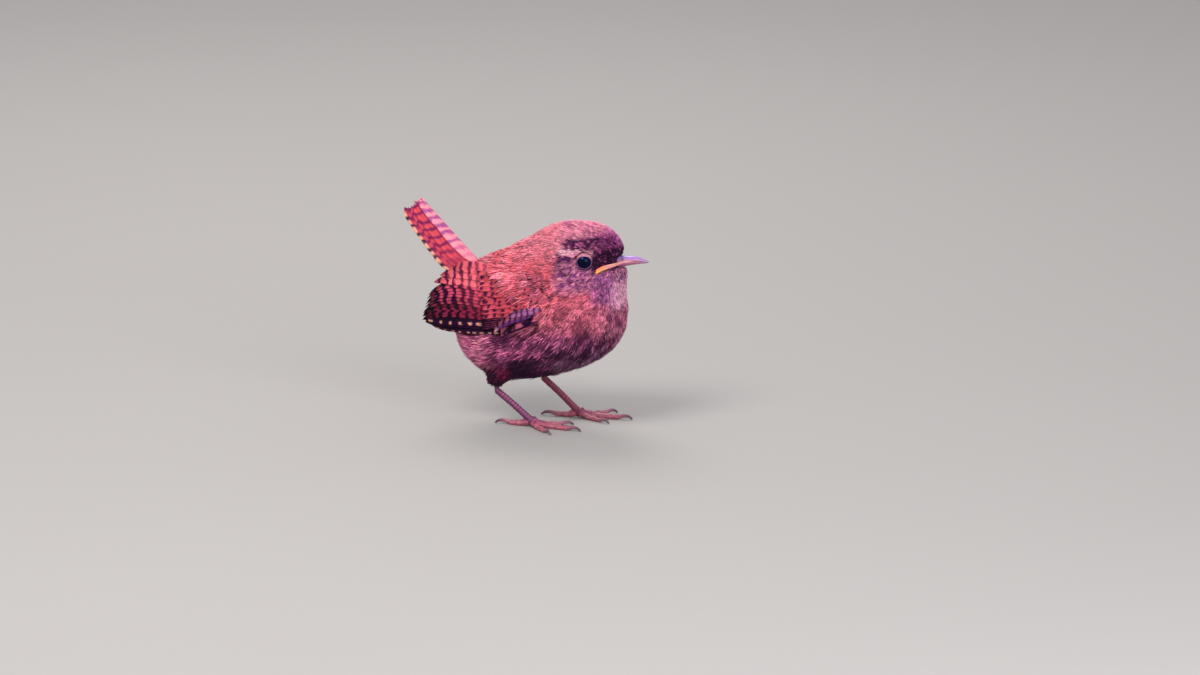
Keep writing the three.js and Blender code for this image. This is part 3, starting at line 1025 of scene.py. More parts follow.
@dataclass
class Coat:
    """Downy tufts over the whole body, each a fan of thin solid blades."""

    flesh: Flesh
    marks: Landmarks
    markings: Markings
    lie: CoatLie
    finish: Material
    share: float = 1.0
    seed: int = 7
    blades: int = 5
    fan: float = 15.0
    stations: tuple[float, ...] = (0.0, 0.38, 0.72)
    widths: tuple[float, ...] = (0.55, 1.0, 0.78)
    # Brightness at the blade's rings and tip: darker at the root, partly the down's own duller colour and
    # partly painted shade among the tufts, and a little brighter at the tip.
    down_and_root_shade: tuple[float, ...] = (0.55, 0.88, 1.0, 1.12)
    lip_clear: float = 1.0
    open_reach: float = 15.0
    densest: float = 8.5
    tufts: float = 13.0
    sparser: float = 1.3
    apart: float = 0.83
    tip_share: float = 0.9
    uneven: float = 0.1
    uneven_blade: float = 0.07
    shorter: float = 0.2
    sway: float = 6.0
    stray: float = 3.5
    roll: float = 16.0
    rooted: float = 0.08
    aim_rise: float = 0.6
    bend_at: float = 0.42
    bend_rise: float = 0.75
    keel: float = 0.3

    SHOULDER_LINE = (
        (-26, 54.8), (-15.7, 53.6), (-10, 52.4), (-7, 50.8), (-5.5, 48.8), (-3.5, 46.6), (0.5, 45.4),
        (4.5, 43.6), (7.2, 42), (8.6, 36), (9, 20),
    )
    BARE_AT_BILL = ((8.6, 2.6, -3.9, 0.4), (9.1, 4.8, -2.1, 1.9))
    ARM_TOP = 49.0
    BREADTH = (0.05, 0.058)
    RUFFLE = (0.07, 0.045)
    PATCH = 0.003

    def __post_init__(self) -> None:
        """Starts the one stream of random numbers."""
        self.random = np.random.default_rng(self.seed)

    def density(self, points: Array) -> Array:
        """Tufts to the square millimetre."""
        wanted = self.tufts / self.flesh.length(points) ** self.sparser
        return self.share * np.minimum(self.densest, wanted)

    def scattered(self, mesh: Mesh, oversampling: float = 5.0) -> Roots:
        """Spreads candidate roots over a mesh, as densely as the coat grows there.

        Args:
            mesh: The surface that the coat is rooted in.
            oversampling: Candidates for each root wanted.

        Returns:
            The candidates, none of them tested against wings yet.
        """
        places, normals = vertex_array(mesh), normal_array(mesh)
        corners = triangle_array(mesh)
        a, b, c = (places[corners[:, i]] for i in range(3))
        area = np.linalg.norm(np.cross(b - a, c - a), axis=1) / 2
        weight = area * self.density((a + b + c) / 3)
        count = int(weight.sum() * oversampling)
        chosen = self.random.choice(len(corners), count, p=weight / weight.sum())
        u, v = self.random.random((2, count))
        flip = u + v > 1
        u[flip], v[flip] = 1 - u[flip], 1 - v[flip]
        shares = np.stack([1 - u - v, u, v], 1)[..., None]
        points = (places[corners[chosen]] * shares).sum(1)
        lean = unit((normals[corners[chosen]] * shares).sum(1))
        return Roots(points, lean, np.zeros(count, bool))

    def thinned(self, roots: Roots) -> Roots:
        """Drops candidates that crowd one already kept."""
        spacing = self.apart / np.sqrt(self.density(roots.points))
        tree = KDTree(len(roots.points))
        for i, point in enumerate(roots.points.tolist()):
            tree.insert(point, i)
        tree.balance()
        alive = np.ones(len(roots.points), bool)
        for i, point in enumerate(roots.points.tolist()):
            if alive[i]:
                for _, other, _ in tree.find_range(point, spacing[i]):
                    alive[other] = other == i
        return roots.only(alive)

    def off_bare_parts(self, roots: Roots) -> Roots:
        """Drops roots on the lids, at and under the bill's root and along the lips of the gape."""
        keep = np.ones(len(roots.points), bool)
        for side, sign in SIDES.items():
            away = self.marks.head(roots.points) - self.marks.head(self.marks.eyes[side])
            ring = np.hypot(away[:, 0], away[:, 2])
            keep &= (ring > self.lie.EYE_CLEAR) | (away[:, 1] * sign < -4)
        f, l, u = self.marks.head(roots.points).T
        for front, half, low, high in self.BARE_AT_BILL:
            keep &= ~((f > front) & (np.abs(l) < half) & (u > low) & (u < high))
        lip = np.interp(f, *np.array(Gape.LINE).T)
        keep &= ~((np.abs(u - lip) < self.lip_clear) & (f > Gape.LINE[0][0] - 0.7))
        return roots.only(keep)

    def body_roots(self) -> Roots:
        """Roots on the skin that show, those whose tips come out from under a wing among them."""
        skin = link("rooting", self.flesh.body.data.copy())
        set_vertices(skin.data, self.flesh.sunk(skin))
        roots = self.thinned(self.off_bare_parts(self.scattered(skin.data)))
        bpy.data.objects.remove(skin)
        hidden = self.flesh.covered(roots.points, roots.normals)
        reach = self.tip_share * self.flesh.length(roots.points)[:, None]
        ends = roots.points + self.lie.directions(roots.points, roots.normals) * reach
        roots.hidden = hidden
        return roots.only(~(hidden & self.flesh.covered(ends, roots.normals)))

    def shoulder_roots(self, side: str) -> Roots:
        """Roots on the outside of one wing, over its fore and upper part."""
        roots = self.scattered(self.flesh.wings[side].data)
        x, y, z = self.marks.bird(roots.points).T
        line = np.array(self.SHOULDER_LINE, float)
        above = z > np.interp(x, line[:, 0], line[:, 1])
        outside = roots.normals[:, 1] * SIDES[side] > np.where(z > self.ARM_TOP, -0.1, 0.15)
        roots = self.thinned(roots.only(above & outside))
        roots.points -= self.flesh.arm_depth * roots.normals
        return roots

    def region_of(self, points: Array) -> Array:
        """The piece of the coat that each root on the skin belongs to, the last that claims it."""
        x, y, z = self.marks.bird(points).T
        f, l, u = self.marks.head(points).T
        face, leg = (f > -8) & (u > -7), (self.flesh.leg_share(points) > 0.3) & (z < 21)
        claims = (
            (y > 0, Region.FLANK_LEFT), (y <= 0, Region.FLANK_RIGHT), (x > 17, Region.BREAST),
            (z < 25, Region.BELLY), (x < -11, Region.VENT), ((x < 6) & (z > 42), Region.BACK),
            ((x > -6) & (z > 50), Region.NAPE), ((f > -1) & (u > -17), Region.THROAT),
            (face & (l > 0), Region.FACE_LEFT), (face & (l <= 0), Region.FACE_RIGHT),
            ((f > -9) & (u > 5.5), Region.CROWN), (leg & (y > 0), Region.THIGH_LEFT),
            (leg & (y <= 0), Region.THIGH_RIGHT),
        )
        regions = np.empty(len(points), object)
        for claimed, region in claims:
            regions[claimed] = region
        return regions

    def bake_places(self, points: Array, region: Region) -> Array:
        """Each root's place on an unwrap of the surface that the piece is rooted in.

        Args:
            points: The roots.
            region: Their piece: the head's pieces unroll round its middle, the rest round the spine.

        Returns:
            A place in the unit square for each root.
        """
        local = self.marks.bird(points)
        if region in (Region.CROWN, Region.FACE_LEFT, Region.FACE_RIGHT, Region.THROAT):
            away = self.marks.head(points) + np.array([4.0, 0.0, 2.0])
            flat = np.stack([np.arctan2(away[:, 1], away[:, 0]), unit(away)[:, 2]], 1)
        else:
            turn = np.arctan2(local[:, 1], local[:, 2] - 36.0 - 0.3 * local[:, 0])
            if region in (Region.BELLY, Region.BREAST, Region.VENT):
                turn = np.arctan2(local[:, 1], 36.0 + 0.3 * local[:, 0] - local[:, 2])
            flat = np.stack([local[:, 0] - 0.4 * local[:, 2], turn], 1)
        low, high = flat.min(0), flat.max(0)
        return 0.01 + 0.98 * (flat - low) / np.maximum(high - low, 1e-6)

    def piece(self, region: Region, roots: Roots) -> Object:
        """Grows one piece of the coat.

        Args:
            region: Which piece it is.
            roots: Where its tufts are rooted.

        Returns:
            The finished piece.
        """
        count, fans = len(roots.points), self.blades
        lengths = self.flesh.length(roots.points) * self.random.normal(1.0, self.uneven, count)
        lies = self.lie.directions(roots.points, roots.normals)
        across = np.cross(lies, roots.normals)
        owner = np.repeat(np.arange(count), fans)
        many = len(owner)
        spread = np.tile(np.linspace(-1, 1, fans), count)
        sway = np.repeat(self.random.normal(0, self.sway, count), fans)
        angle = np.radians(spread * self.fan + sway + self.random.normal(0, self.stray, many))
        way = np.cos(angle)[:, None] * lies[owner] + np.sin(angle)[:, None] * across[owner]
        length = lengths[owner] * (1 - self.shorter * np.abs(spread))
        length *= self.random.normal(1, self.uneven_blade, many)
        start = roots.points[owner] - self.rooted * roots.normals[owner]
        depth = self.flesh.depth(start)[:, None] * roots.normals[owner]
        aim = start + way * length[:, None] + self.aim_rise * depth
        facial = self.marks.from_bill(roots.points) < self.open_reach
        end, out = self.settled(aim, (roots.hidden | facial)[owner])
        ruffle = self.RUFFLE[0] + self.RUFFLE[1] * length
        end += out * (self.random.normal(-0.3, 1.0, many) * ruffle)[:, None]
        bend = start + self.bend_at * (end - start) + self.bend_rise * depth
        width = self.BREADTH[0] + self.BREADTH[1] * length
        width *= self.random.uniform(0.85, 1.15, many)
        roll = np.radians(self.random.normal(0, self.roll, many))[:, None]
        side = unit(np.cross(end - start, out))
        lift = unit(np.cross(side, end - start))
        side, lift = side * np.cos(roll) + lift * np.sin(roll), lift * np.cos(roll) - side * np.sin(roll)
        rings = []
        for t, swell in zip(self.stations, self.widths):
            middle = (1 - t) ** 2 * start + 2 * t * (1 - t) * bend + t**2 * end
            half = side * (0.5 * swell * width)[:, None]
            keel = lift * (self.keel * swell * width)[:, None]
            rings += [middle - half, middle + half, middle + keel]
        points = np.stack([*rings, end], 1)
        colours = self.colours(roots, end, owner, fans)
        places = self.bake_places(roots.points, region)[owner]
        steps = np.repeat([*self.stations, 1.0], [3, 3, 3, 1])
        slot = places[:, None] + self.PATCH * np.stack(
            [np.repeat(spread[:, None] * 0.4, 10, 1), np.tile(steps - 0.5, (many, 1))], -1
        )
        return self.assembled(region.value, points, colours, slot)

    def settled(self, aim: Array, hidden: Array) -> tuple[Array, Array]:
        """Brings blade tips onto the outline that they lie along, under a wing or over all."""
        ends, outs = np.empty_like(aim), np.empty_like(aim)
        for i, (point, under) in enumerate(zip(aim.tolist(), hidden)):
            tree = self.flesh.body_tree if under else self.flesh.dressed_tree
            place, normal, _, _ = tree.find_nearest(point)
            ends[i], outs[i] = place, normal
        return ends, outs

    def colours(self, roots: Roots, ends: Array, owner: Array, fans: int) -> Array:
        """Each blade's colour at its three rings and its tip."""
        tips = ends.reshape(-1, fans, 3)[:, fans // 2]
        blade = self.markings.colours(tips)[owner]
        facial = (self.marks.from_bill(roots.points) < self.open_reach)[owner]
        if facial.any():
            blade[facial] = self.markings.colours(ends[facial])
        blade *= np.exp(self.random.normal(0.0, 0.34, (len(tips), 1)))[owner]
        blade *= np.exp(self.random.normal(0.0, 0.2, (len(owner), 1)))
        blade *= self.random.normal(1.0, 0.05, (len(owner), 3))
        shade = np.repeat(self.down_and_root_shade, [3, 3, 3, 1])
        drawn = np.maximum(blade[:, None] * shade[None, :, None], 0.0)
        return drawn / np.maximum(drawn.max(-1, keepdims=True), 1.0)

    def assembled(self, name: str, points: Array, colours: Array, places: Array) -> Object:
        """Joins blades of ten points each into one dressed piece."""
        faces = [(0, 2, 1)]
        for ring in (0, 3):
            left, right, top = ring, ring + 1, ring + 2
            faces.append((left, left + 3, right + 3, right))
            faces.append((right, right + 3, top + 3, top))
            faces.append((top, top + 3, left + 3, left))
        faces += [(6, 9, 7), (7, 9, 8), (8, 9, 6)]
        corners = np.concatenate([np.array(face) for face in faces])
        starts = np.cumsum([0] + [len(face) for face in faces[:-1]])
        count = len(points)
        base = (np.arange(count) * 10)[:, None]
        mesh = mesh_from_arrays(
            name,
            points.reshape(-1, 3),
            (base + corners[None]).ravel(),
            (np.arange(count)[:, None] * len(corners) + starts[None]).ravel(),
        )
        paint(mesh, "hue", colours.reshape(-1, 3))
        bake_map(mesh, np.clip(places.reshape(-1, 2), 0, 1))
        return finish_piece(link(name, mesh), material=self.finish)

    def build(self) -> None:
        """Grows every piece."""
        roots = self.body_roots()
        regions = self.region_of(roots.points)
        for region in Region:
            chosen = roots.only(regions == region)
            if region in (Region.SHOULDER_LEFT, Region.SHOULDER_RIGHT):
                chosen = self.shoulder_roots(region.value.rsplit("_", 1)[1])
            log.info("%s: %d tufts", region.value, len(chosen.points))
            self.piece(region, chosen)


# Bare parts


def along_profile(points: Sequence[Sequence[float]], places: Array | float) -> Array:
    """The height of a smooth profile, given as (forwards, up), at each place forwards."""
    line = spline(points, np.linspace(0, 1, 80))
    return np.interp(places, line[:, 0], line[:, 1])


@dataclass
class Legs:
    """Bare shanks and toes, with scutes down the front and pads under the toes."""

    flesh: Flesh
    marks: Landmarks
    finish: Material
    voxel: float = 0.13
    closing: float = 0.2
    rounds: int = 4
    shank_pitch: float = 1.1
    toe_pitch: float = 0.75
    pad_pitch: float = 2.8
    scute_rise: float = 0.17
    pad_rise: float = 0.22
    rooted: float = 2.2
    # How strongly the grooves between scutes take painted shade, and their crests a painted highlight.
    groove_shade_share: float = 0.4
    highlight_share: float = 0.3

    # The two shanks are painted in different tones, each as its leg looked in its own light: painted light
    # and shade on one skin colour. The groove and ridge tones are painted shade and painted highlight.
    TONES = {
        "shank_right": "641848", "shank_left": "7c1a32", "toe": "8c2c50", "sole": "a85464",
        "groove": "28081f", "ridge": "b4609c",
    }

    def skin(self, side: str) -> Object:
        """The bare skin of one leg, as one closed shape painted in the leg's colours, with painted shade in
        the scutes' grooves and painted highlights on their crests.
        """
        names = [f"tarsus_{side}", *(f"toe_{toe}_{side}" for toe in TOES)]
        nodes = [self.flesh.nodes[name] for name in names]
        made = rewrapped(gathered(f"bare_leg_{side}", nodes, self.closing), self.voxel, self.rounds)
        normals = normal_array(made.data)
        points = vertex_array(made.data) - 0.7 * self.closing * normals
        owner = self.owners(points, nodes)
        plan, tones = LEGS[side], tones_of(self.TONES)
        heel, hub = self.marks.row([plan.heel, plan.hub])
        rise = np.zeros(len(points))
        colours = np.zeros((len(points), 3))
        for i, node in enumerate(nodes):
            mine = owner == i
            own = points[mine]
            if i == 0:
                start, axis = heel, unit(hub - heel)
                front = unit(np.array([1.0, 0.0, 0.6]) - axis * axis[0])
                pitch, base = self.shank_pitch, tones[f"shank_{side}"]
            else:
                far = vertex_array(node.data) / MM
                tip = far[np.argmax(np.linalg.norm(far - hub, axis=1))]
                start = hub
                axis = unit((tip - hub) * np.array([1, 1, 0]))
                front, pitch, base = np.array([0, 0, 1.0]), self.toe_pitch, tones["toe"]
            along = (own - start) @ axis
            off = unit(own - start - along[:, None] * axis)
            facing = off @ front
            step = (along / pitch) % 1.0
            scute = ramp(facing, -0.15, 0.35)
            pad = ramp(facing, -0.1, -0.6) * (1.0 if i else 0.25)
            rise[mine] = self.scute_rise * (step - 0.45) * scute * ramp(step, 1.0, 0.86)
            rise[mine] += self.pad_rise * pad * (np.sin(np.pi * along / self.pad_pitch) ** 2 - 0.5)
            tint = towards(base, tones["sole"], pad * (i > 0))
            # Painted shade in the groove at each end of a scute.
            dark = ramp(step, 0.82, 1.0) + ramp(step, 0.12, 0.0)
            tint = towards(tint, tones["groove"], self.groove_shade_share * dark * scute)
            # Painted highlight along each scute's crest.
            ridge_highlight = band(step, 0.62, 0.12, 0.14) * scute
            colours[mine] = towards(tint, tones["ridge"], self.highlight_share * ridge_highlight)
            if i == 0:
                thigh = unit(self.marks.row(plan.knee) - heel)
                points[mine] += self.rooted * ramp(along, 1.6, 0.3)[:, None] * thigh
        points += rise[:, None] * normals
        points[:, 2] = np.maximum(points[:, 2], 0.0)
        set_vertices(made.data, points)
        paint(made.data, "hue", colours)
        return dress(made, self.finish)

    def owners(self, points: Array, nodes: Sequence[Object]) -> Array:
        """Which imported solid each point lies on."""
        away = []
        for node in nodes:
            tree = surface_tree(node.data)
            away.append([tree.find_nearest(point)[3] for point in (points * MM).tolist()])
        return np.argmin(np.array(away), 0)


@dataclass
class Eyes:
    """Dark wet eyeballs, and the beaded lids round them."""

    marks: Landmarks
    ball_finish: Material
    lid_finish: Material
    radius: float = 2.6
    iris: float = 1.75
    beads: int = 34
    bead: float = 0.04
    flat_above: float = 0.22
    flat_below: float = 0.1

    LEAN = (0.1, 0.05)
    LID = ((2.16, 1.34), (2.2, 1.56), (2.32, 1.7), (2.46, 1.67), (2.68, 1.25), (3.0, 0.5), (2.7, 0.5))
    # The lids are painted paler on their upper half, where the light falls: painted highlight.
    LID_TONES = {"rim": "0a030c", "below": "5c2c64", "above": "b87488", "outer": "4c2048"}

    def axis(self, side: str) -> Vector:
        """Which way the eye looks."""
        forwards, up = self.LEAN
        way = SIDES[side] * self.marks.left + forwards * self.marks.forward
        return Vector(unit(way + np.array([0, 0, up])))

    def turn(self, side: str) -> Matrix:
        """Takes Z to the way the eye looks, and the origin to the eye's middle."""
        spin = self.axis(side).to_track_quat("Z", "Y").to_matrix().to_4x4()
        return Matrix.Translation(Vector(self.marks.eyes[side])) @ spin

    def lid(self, side: str) -> Object:
        """One beaded ring of bare lid, spun from its section."""
        bm = bmesh.new()
        verts = [bm.verts.new((out, 0.0, up)) for out, up in self.LID]
        edges = [bm.edges.new((verts[i - 1], verts[i])) for i in range(len(verts))]
        bmesh.ops.spin(
            bm, geom=[*verts, *edges], cent=(0, 0, 0), axis=(0, 0, 1), angle=math.tau, steps=120,
            use_merge=True,
        )
        bmesh.ops.subdivide_edges(bm, edges=bm.edges, cuts=1, use_grid_fill=True)
        bmesh.ops.recalc_face_normals(bm, faces=bm.faces)
        made = from_bmesh(f"lid_{side}", bm)
        points = vertex_array(made.data)
        turn = np.arctan2(points[:, 1], points[:, 0])
        out = np.hypot(points[:, 0], points[:, 1])
        high = np.sin(turn)
        squeeze = np.where(high > 0, self.flat_above, self.flat_below) * high**2
        far = np.hypot(out, points[:, 2])
        lean = np.arctan2(out, points[:, 2]) * (1 - squeeze * ramp(out, 3.3, 2.4))
        bead = self.bead * np.abs(np.sin(turn * self.beads / 2)) * band(out, 2.36, 0.1, 0.2)
        reach = (far + bead) * np.sin(lean)
        points = np.stack([np.cos(turn) * reach, high * reach, (far + bead) * np.cos(lean)], 1)
        set_vertices(made.data, points)
        rim, below, above, outer = tones_of(self.LID_TONES).values()
        # Both the lid and its skirt are painted paler towards the top: painted highlight.
        tint = towards(below, above, ramp(high, -0.1, 0.8))
        tint = towards(tint, rim, ramp(out, 2.28, 2.2))
        skirt = towards(outer, above, ramp(high, 0.1, 0.7))
        paint(made.data, "hue", towards(tint, skirt, ramp(out, 2.4, 2.6)))
        made.data.transform(self.turn(side))
        return dress(made, self.lid_finish)

    def ball(self, side: str) -> Object:
        """One eyeball, with its pupil and iris told apart by their reach from the axis."""
        bm = bmesh.new()
        bmesh.ops.create_uvsphere(bm, u_segments=48, v_segments=32, radius=self.radius)
        made = from_bmesh(f"eyeball_{side}", bm)
        points = vertex_array(made.data)
        reach = np.hypot(points[:, 0], points[:, 1]) / self.iris
        number(made.data, "reach", np.where(points[:, 2] > 0, reach, 2.0))
        made.data.transform(self.turn(side))
        return finish_piece(made, [f"eye_{side}"], self.ball_finish)


@dataclass
class Bill:
    """The two mandibles, the upper a little longer and hooked down over the lower.

    Profiles are forwards and up from midway between the eyes.
    """

    marks: Landmarks
    finish: Material
    half_width: float = 2.4
    tip_width: float = 0.3
    base: float = 8.2
    closed: float = 0.05
    inner_rise: float = 0.16
    around: int = 40
    along: int = 60

    CULMEN = ((7.8, 0.75), (10.0, 0.42), (13.0, 0.34), (16.6, 0.0), (20.4, -1.5))
    COMMISSURE = ((7.8, -2.2), (10.0, -1.65), (13.2, -1.35), (16.5, -1.22), (20.4, -1.75))
    KEEL = ((7.8, -4.6), (10.0, -3.85), (13.0, -3.0), (16.8, -2.3), (20.1, -1.95))
    UPPER_TIP = 20.4
    LOWER_TIP = 19.9
    FACE = 9.8
    NOSTRIL = (11.7, 0.75, 0.55, 0.2)
    NOSTRIL_SHADE = (11.8, 0.62, 0.5, 0.2)
    TONES = {"ridge": "9068b4", "flank": "a46c98", "edge": "cc745c", "under": "a8586c", "tip": "8c5c90"}

    def width(self, forwards: float, tip: float) -> float:
        """Half the bill's width at a place forwards."""
        share = min(max((forwards - self.FACE) / (tip - self.FACE), 0.0), 1.0)
        return (self.half_width - self.tip_width) * (1 - share) ** 0.8 + self.tip_width

    def hollow(self, nostril: tuple[float, ...], forwards: Array | float, rise: Array | float) -> Array:
        """1 in the middle of a nostril, given as place and reach forwards and then up."""
        at, reach, up, tall = nostril
        return np.exp(-(((forwards - at) / reach) ** 2) - ((rise - up) / tall) ** 2)

    def mandible(self, name: str, outer: Sequence, tip: float, nostrils: bool) -> Object:
        """Winds one mandible between its outer profile and the commissure.

        Args:
            name: The piece's name.
            outer: The culmen or the keel.
            tip: How far forward it ends.
            nostrils: Whether it has them.

        Returns:
            The linked object, unpainted.
        """
        steps = np.linspace(self.base, tip, self.along * 4)
        rims = along_profile(self.COMMISSURE, steps)
        peaks = along_profile(outer, steps)
        sign = 1.0 if nostrils else -1.0

        def place(angle: float, share: float) -> Sequence[float]:
            """A point of the mandible, at an angle round it and a share along it."""
            share = 1 - (1 - share) ** 1.25
            forwards = self.base + (tip - self.base) * share
            rim = float(np.interp(forwards, steps, rims)) + sign * self.closed
            peak = float(np.interp(forwards, steps, peaks))
            close = math.sqrt(max(1 - max((share - 0.94) / 0.06, 0) ** 2, 0.0))
            half = self.width(forwards, tip) * close
            lift, across = math.cos(angle), math.sin(angle)
            tall = (peak - rim) * close
            height = rim + tall * (lift**0.85 if lift > 0 else -self.inner_rise * lift)
            dent = self.hollow(self.NOSTRIL, forwards, lift) if nostrils else 0.0
            half *= 1 - 0.2 * dent
            pinch = 1 - 0.1 * max(lift, 0) * max(1 - share, 0)
            return self.marks.from_head([forwards, across * half * pinch, height])

        return wrapped(name, self.around, self.along, place)

    def painted(self, made: Object, outer: Sequence, upper: bool) -> None:
        """Colours a mandible by how near its ridge, edge and tip each point is."""
        f, l, u = self.marks.head(vertex_array(made.data)).T
        rim, peak = along_profile(self.COMMISSURE, f), along_profile(outer, f)
        rise = np.clip((u - rim) / np.where(np.abs(peak - rim) < 0.1, 0.1, peak - rim), 0, 1)
        tones = tones_of(self.TONES)
        tint = towards(tones["edge"], tones["flank"], ramp(rise, 0.0, 0.35))
        tint = towards(tint, tones["ridge" if upper else "under"], ramp(rise, 0.3, 0.8))
        tint = towards(tint, tones["tip"], 0.6 * ramp(f, 17.5, 20.4))
        if upper:
            # Painted shade in the nostril's hollow.
            tint = tint * (1 - 0.85 * self.hollow(self.NOSTRIL_SHADE, f, rise))[:, None]
            tint = tint * (1 - 0.55 * band(rise, 0.02, 0.03, 0.08))[:, None]
        paint(made.data, "hue", tint)

    def build(self) -> None:
        """Makes both mandibles."""
        upper = self.mandible("upper_mandible", self.CULMEN, self.UPPER_TIP, True)
        self.painted(upper, self.CULMEN, True)
        finish_piece(upper, ["bill_upper"], self.finish)
        lower = self.mandible("lower_mandible", self.KEEL, self.LOWER_TIP, False)
        self.painted(lower, self.KEEL, False)
        finish_piece(lower, ["bill_lower"], self.finish)


@dataclass
class Gape:
    """The swollen yellow flanges where the mandibles meet, on each cheek."""

    marks: Landmarks
    flesh: Flesh
    bill: Bill
    finish: Material
    lower_roll: float = 0.5
    upper_roll: float = 0.42
    apart: float = 0.4
    past_groove: float = 1.9
    thinned: float = 0.62

    LINE = (
        (3.9, -3.2), (5.4, -2.4), (7.2, -1.85), (9.4, -1.5), (11.5, -1.32), (13.5, -1.25), (15.8, -1.25),
    )
    FADE = (4.6, 8.6)
    TONES = {"rear": "ffa83c", "front": "f09a90", "upper": "f07848"}

    def path(self, side: str) -> Array:
        """Points from the corner of the mouth forwards along the commissure."""
        sign = SIDES[side]
        way = Vector(-sign * self.marks.left)
        line = []
        for forwards, up in spline(self.LINE, np.linspace(0, 1, 11)):
            flank = self.bill.width(forwards, self.bill.UPPER_TIP)
            cheeks = []
            for off in (-self.past_groove, self.past_groove):
                start = self.marks.from_head([forwards, sign * 15.0, up + off])
                hit = self.flesh.body_tree.ray_cast(Vector(start), way, 15.0)[0]
                cheeks.append(0.0 if hit is None else self.marks.head(np.array(hit))[1] * sign)
            blend = float(ramp(forwards, 10.0, 12.6))
            line.append([forwards, sign * (np.mean(cheeks) * (1 - blend) + flank * blend), up])
        line = np.array(line)
        line[1:-1, 1] = (line[:-2, 1] + 2 * line[1:-1, 1] + line[2:, 1]) / 4
        return line

    def roll(self, name: str, side: str, radius: float, lift: float, sunk: float) -> Object:
        """One lip of the flange, thickest near the corner and fading along the bill."""
        line = self.path(side)
        sign = SIDES[side]

        def place(angle: float, share: float) -> Sequence[float]:
            """A point of the lip, at an angle round it and a share along it."""
            middle = spline(line, np.array([share]))[0]
            swell = max(math.sin(math.pi * (0.05 + 0.95 * share) ** 0.55), 0.0) ** 0.5
            fade = 1 - self.thinned * share
            size = radius * swell * fade
            out = size * (0.9 * math.cos(angle) + 0.2) - sunk
            up = size * 1.15 * math.sin(angle) + lift * swell * fade
            return self.marks.from_head([middle[0], middle[1] + sign * out, middle[2] + up])

        return wrapped(name, 18, 44, place)

    def build(self, side: str) -> None:
        """Makes one side's two lips as one piece."""
        lower = self.roll("lower_lip", side, self.lower_roll, -self.apart, 0.0)
        upper = self.roll("upper_lip", side, self.upper_roll, self.apart, 0.05)
        tones = tones_of(self.TONES)
        for made, base in ((lower, "rear"), (upper, "upper")):
            f = self.marks.head(vertex_array(made.data))[:, 0]
            paint(made.data, "hue", towards(tones[base], tones["front"], ramp(f, *self.FADE)))
            dress(made, self.finish)
        made = joined(f"gape_flange_{side}", [lower, upper])
        finish_piece(made, [f"gape_{side}"])


@dataclass
class Claws:
    """Curved claws, darker towards the tip and paler where they leave the toe."""

    nodes: dict[str, Object]
    finish: Material
    voxel: float = 0.085
    rounds: int = 5
    rooted: float = 0.75

    ROOT_TONE = "94566a"
    TIP_TONE = "3a2034"

    def build(self) -> None:
        """Smooths each packed claw into a finished one."""
        for side in SIDES:
            for toe in TOES:
                node = self.nodes[f"claw_{toe}_{side}"]
                made = gathered(f"claw_sheath_{toe}_{side}", [node], 0.06)
                rewrapped(made, self.voxel, self.rounds)
                points = vertex_array(made.data)
                foot = self.nodes[f"toe_{toe}_{side}"]
                root = vertex_array(foot.data).mean(0) / MM
                away = np.linalg.norm(points - root, axis=1)
                back = unit((root - points.mean(0)) * np.array([1, 1, 0]))
                points += self.rooted * ramp(away, away.min() + 1.0, away.min())[:, None] * back
                points[:, 2] = np.maximum(points[:, 2], 0.0)
                set_vertices(made.data, points)
                share = ramp(away, away.min(), away.max())
                paint(made.data, "hue", towards(tone(self.ROOT_TONE), tone(self.TIP_TONE), share))
                finish_piece(made, [node.name], self.finish)


# Vanes of the wings and tail


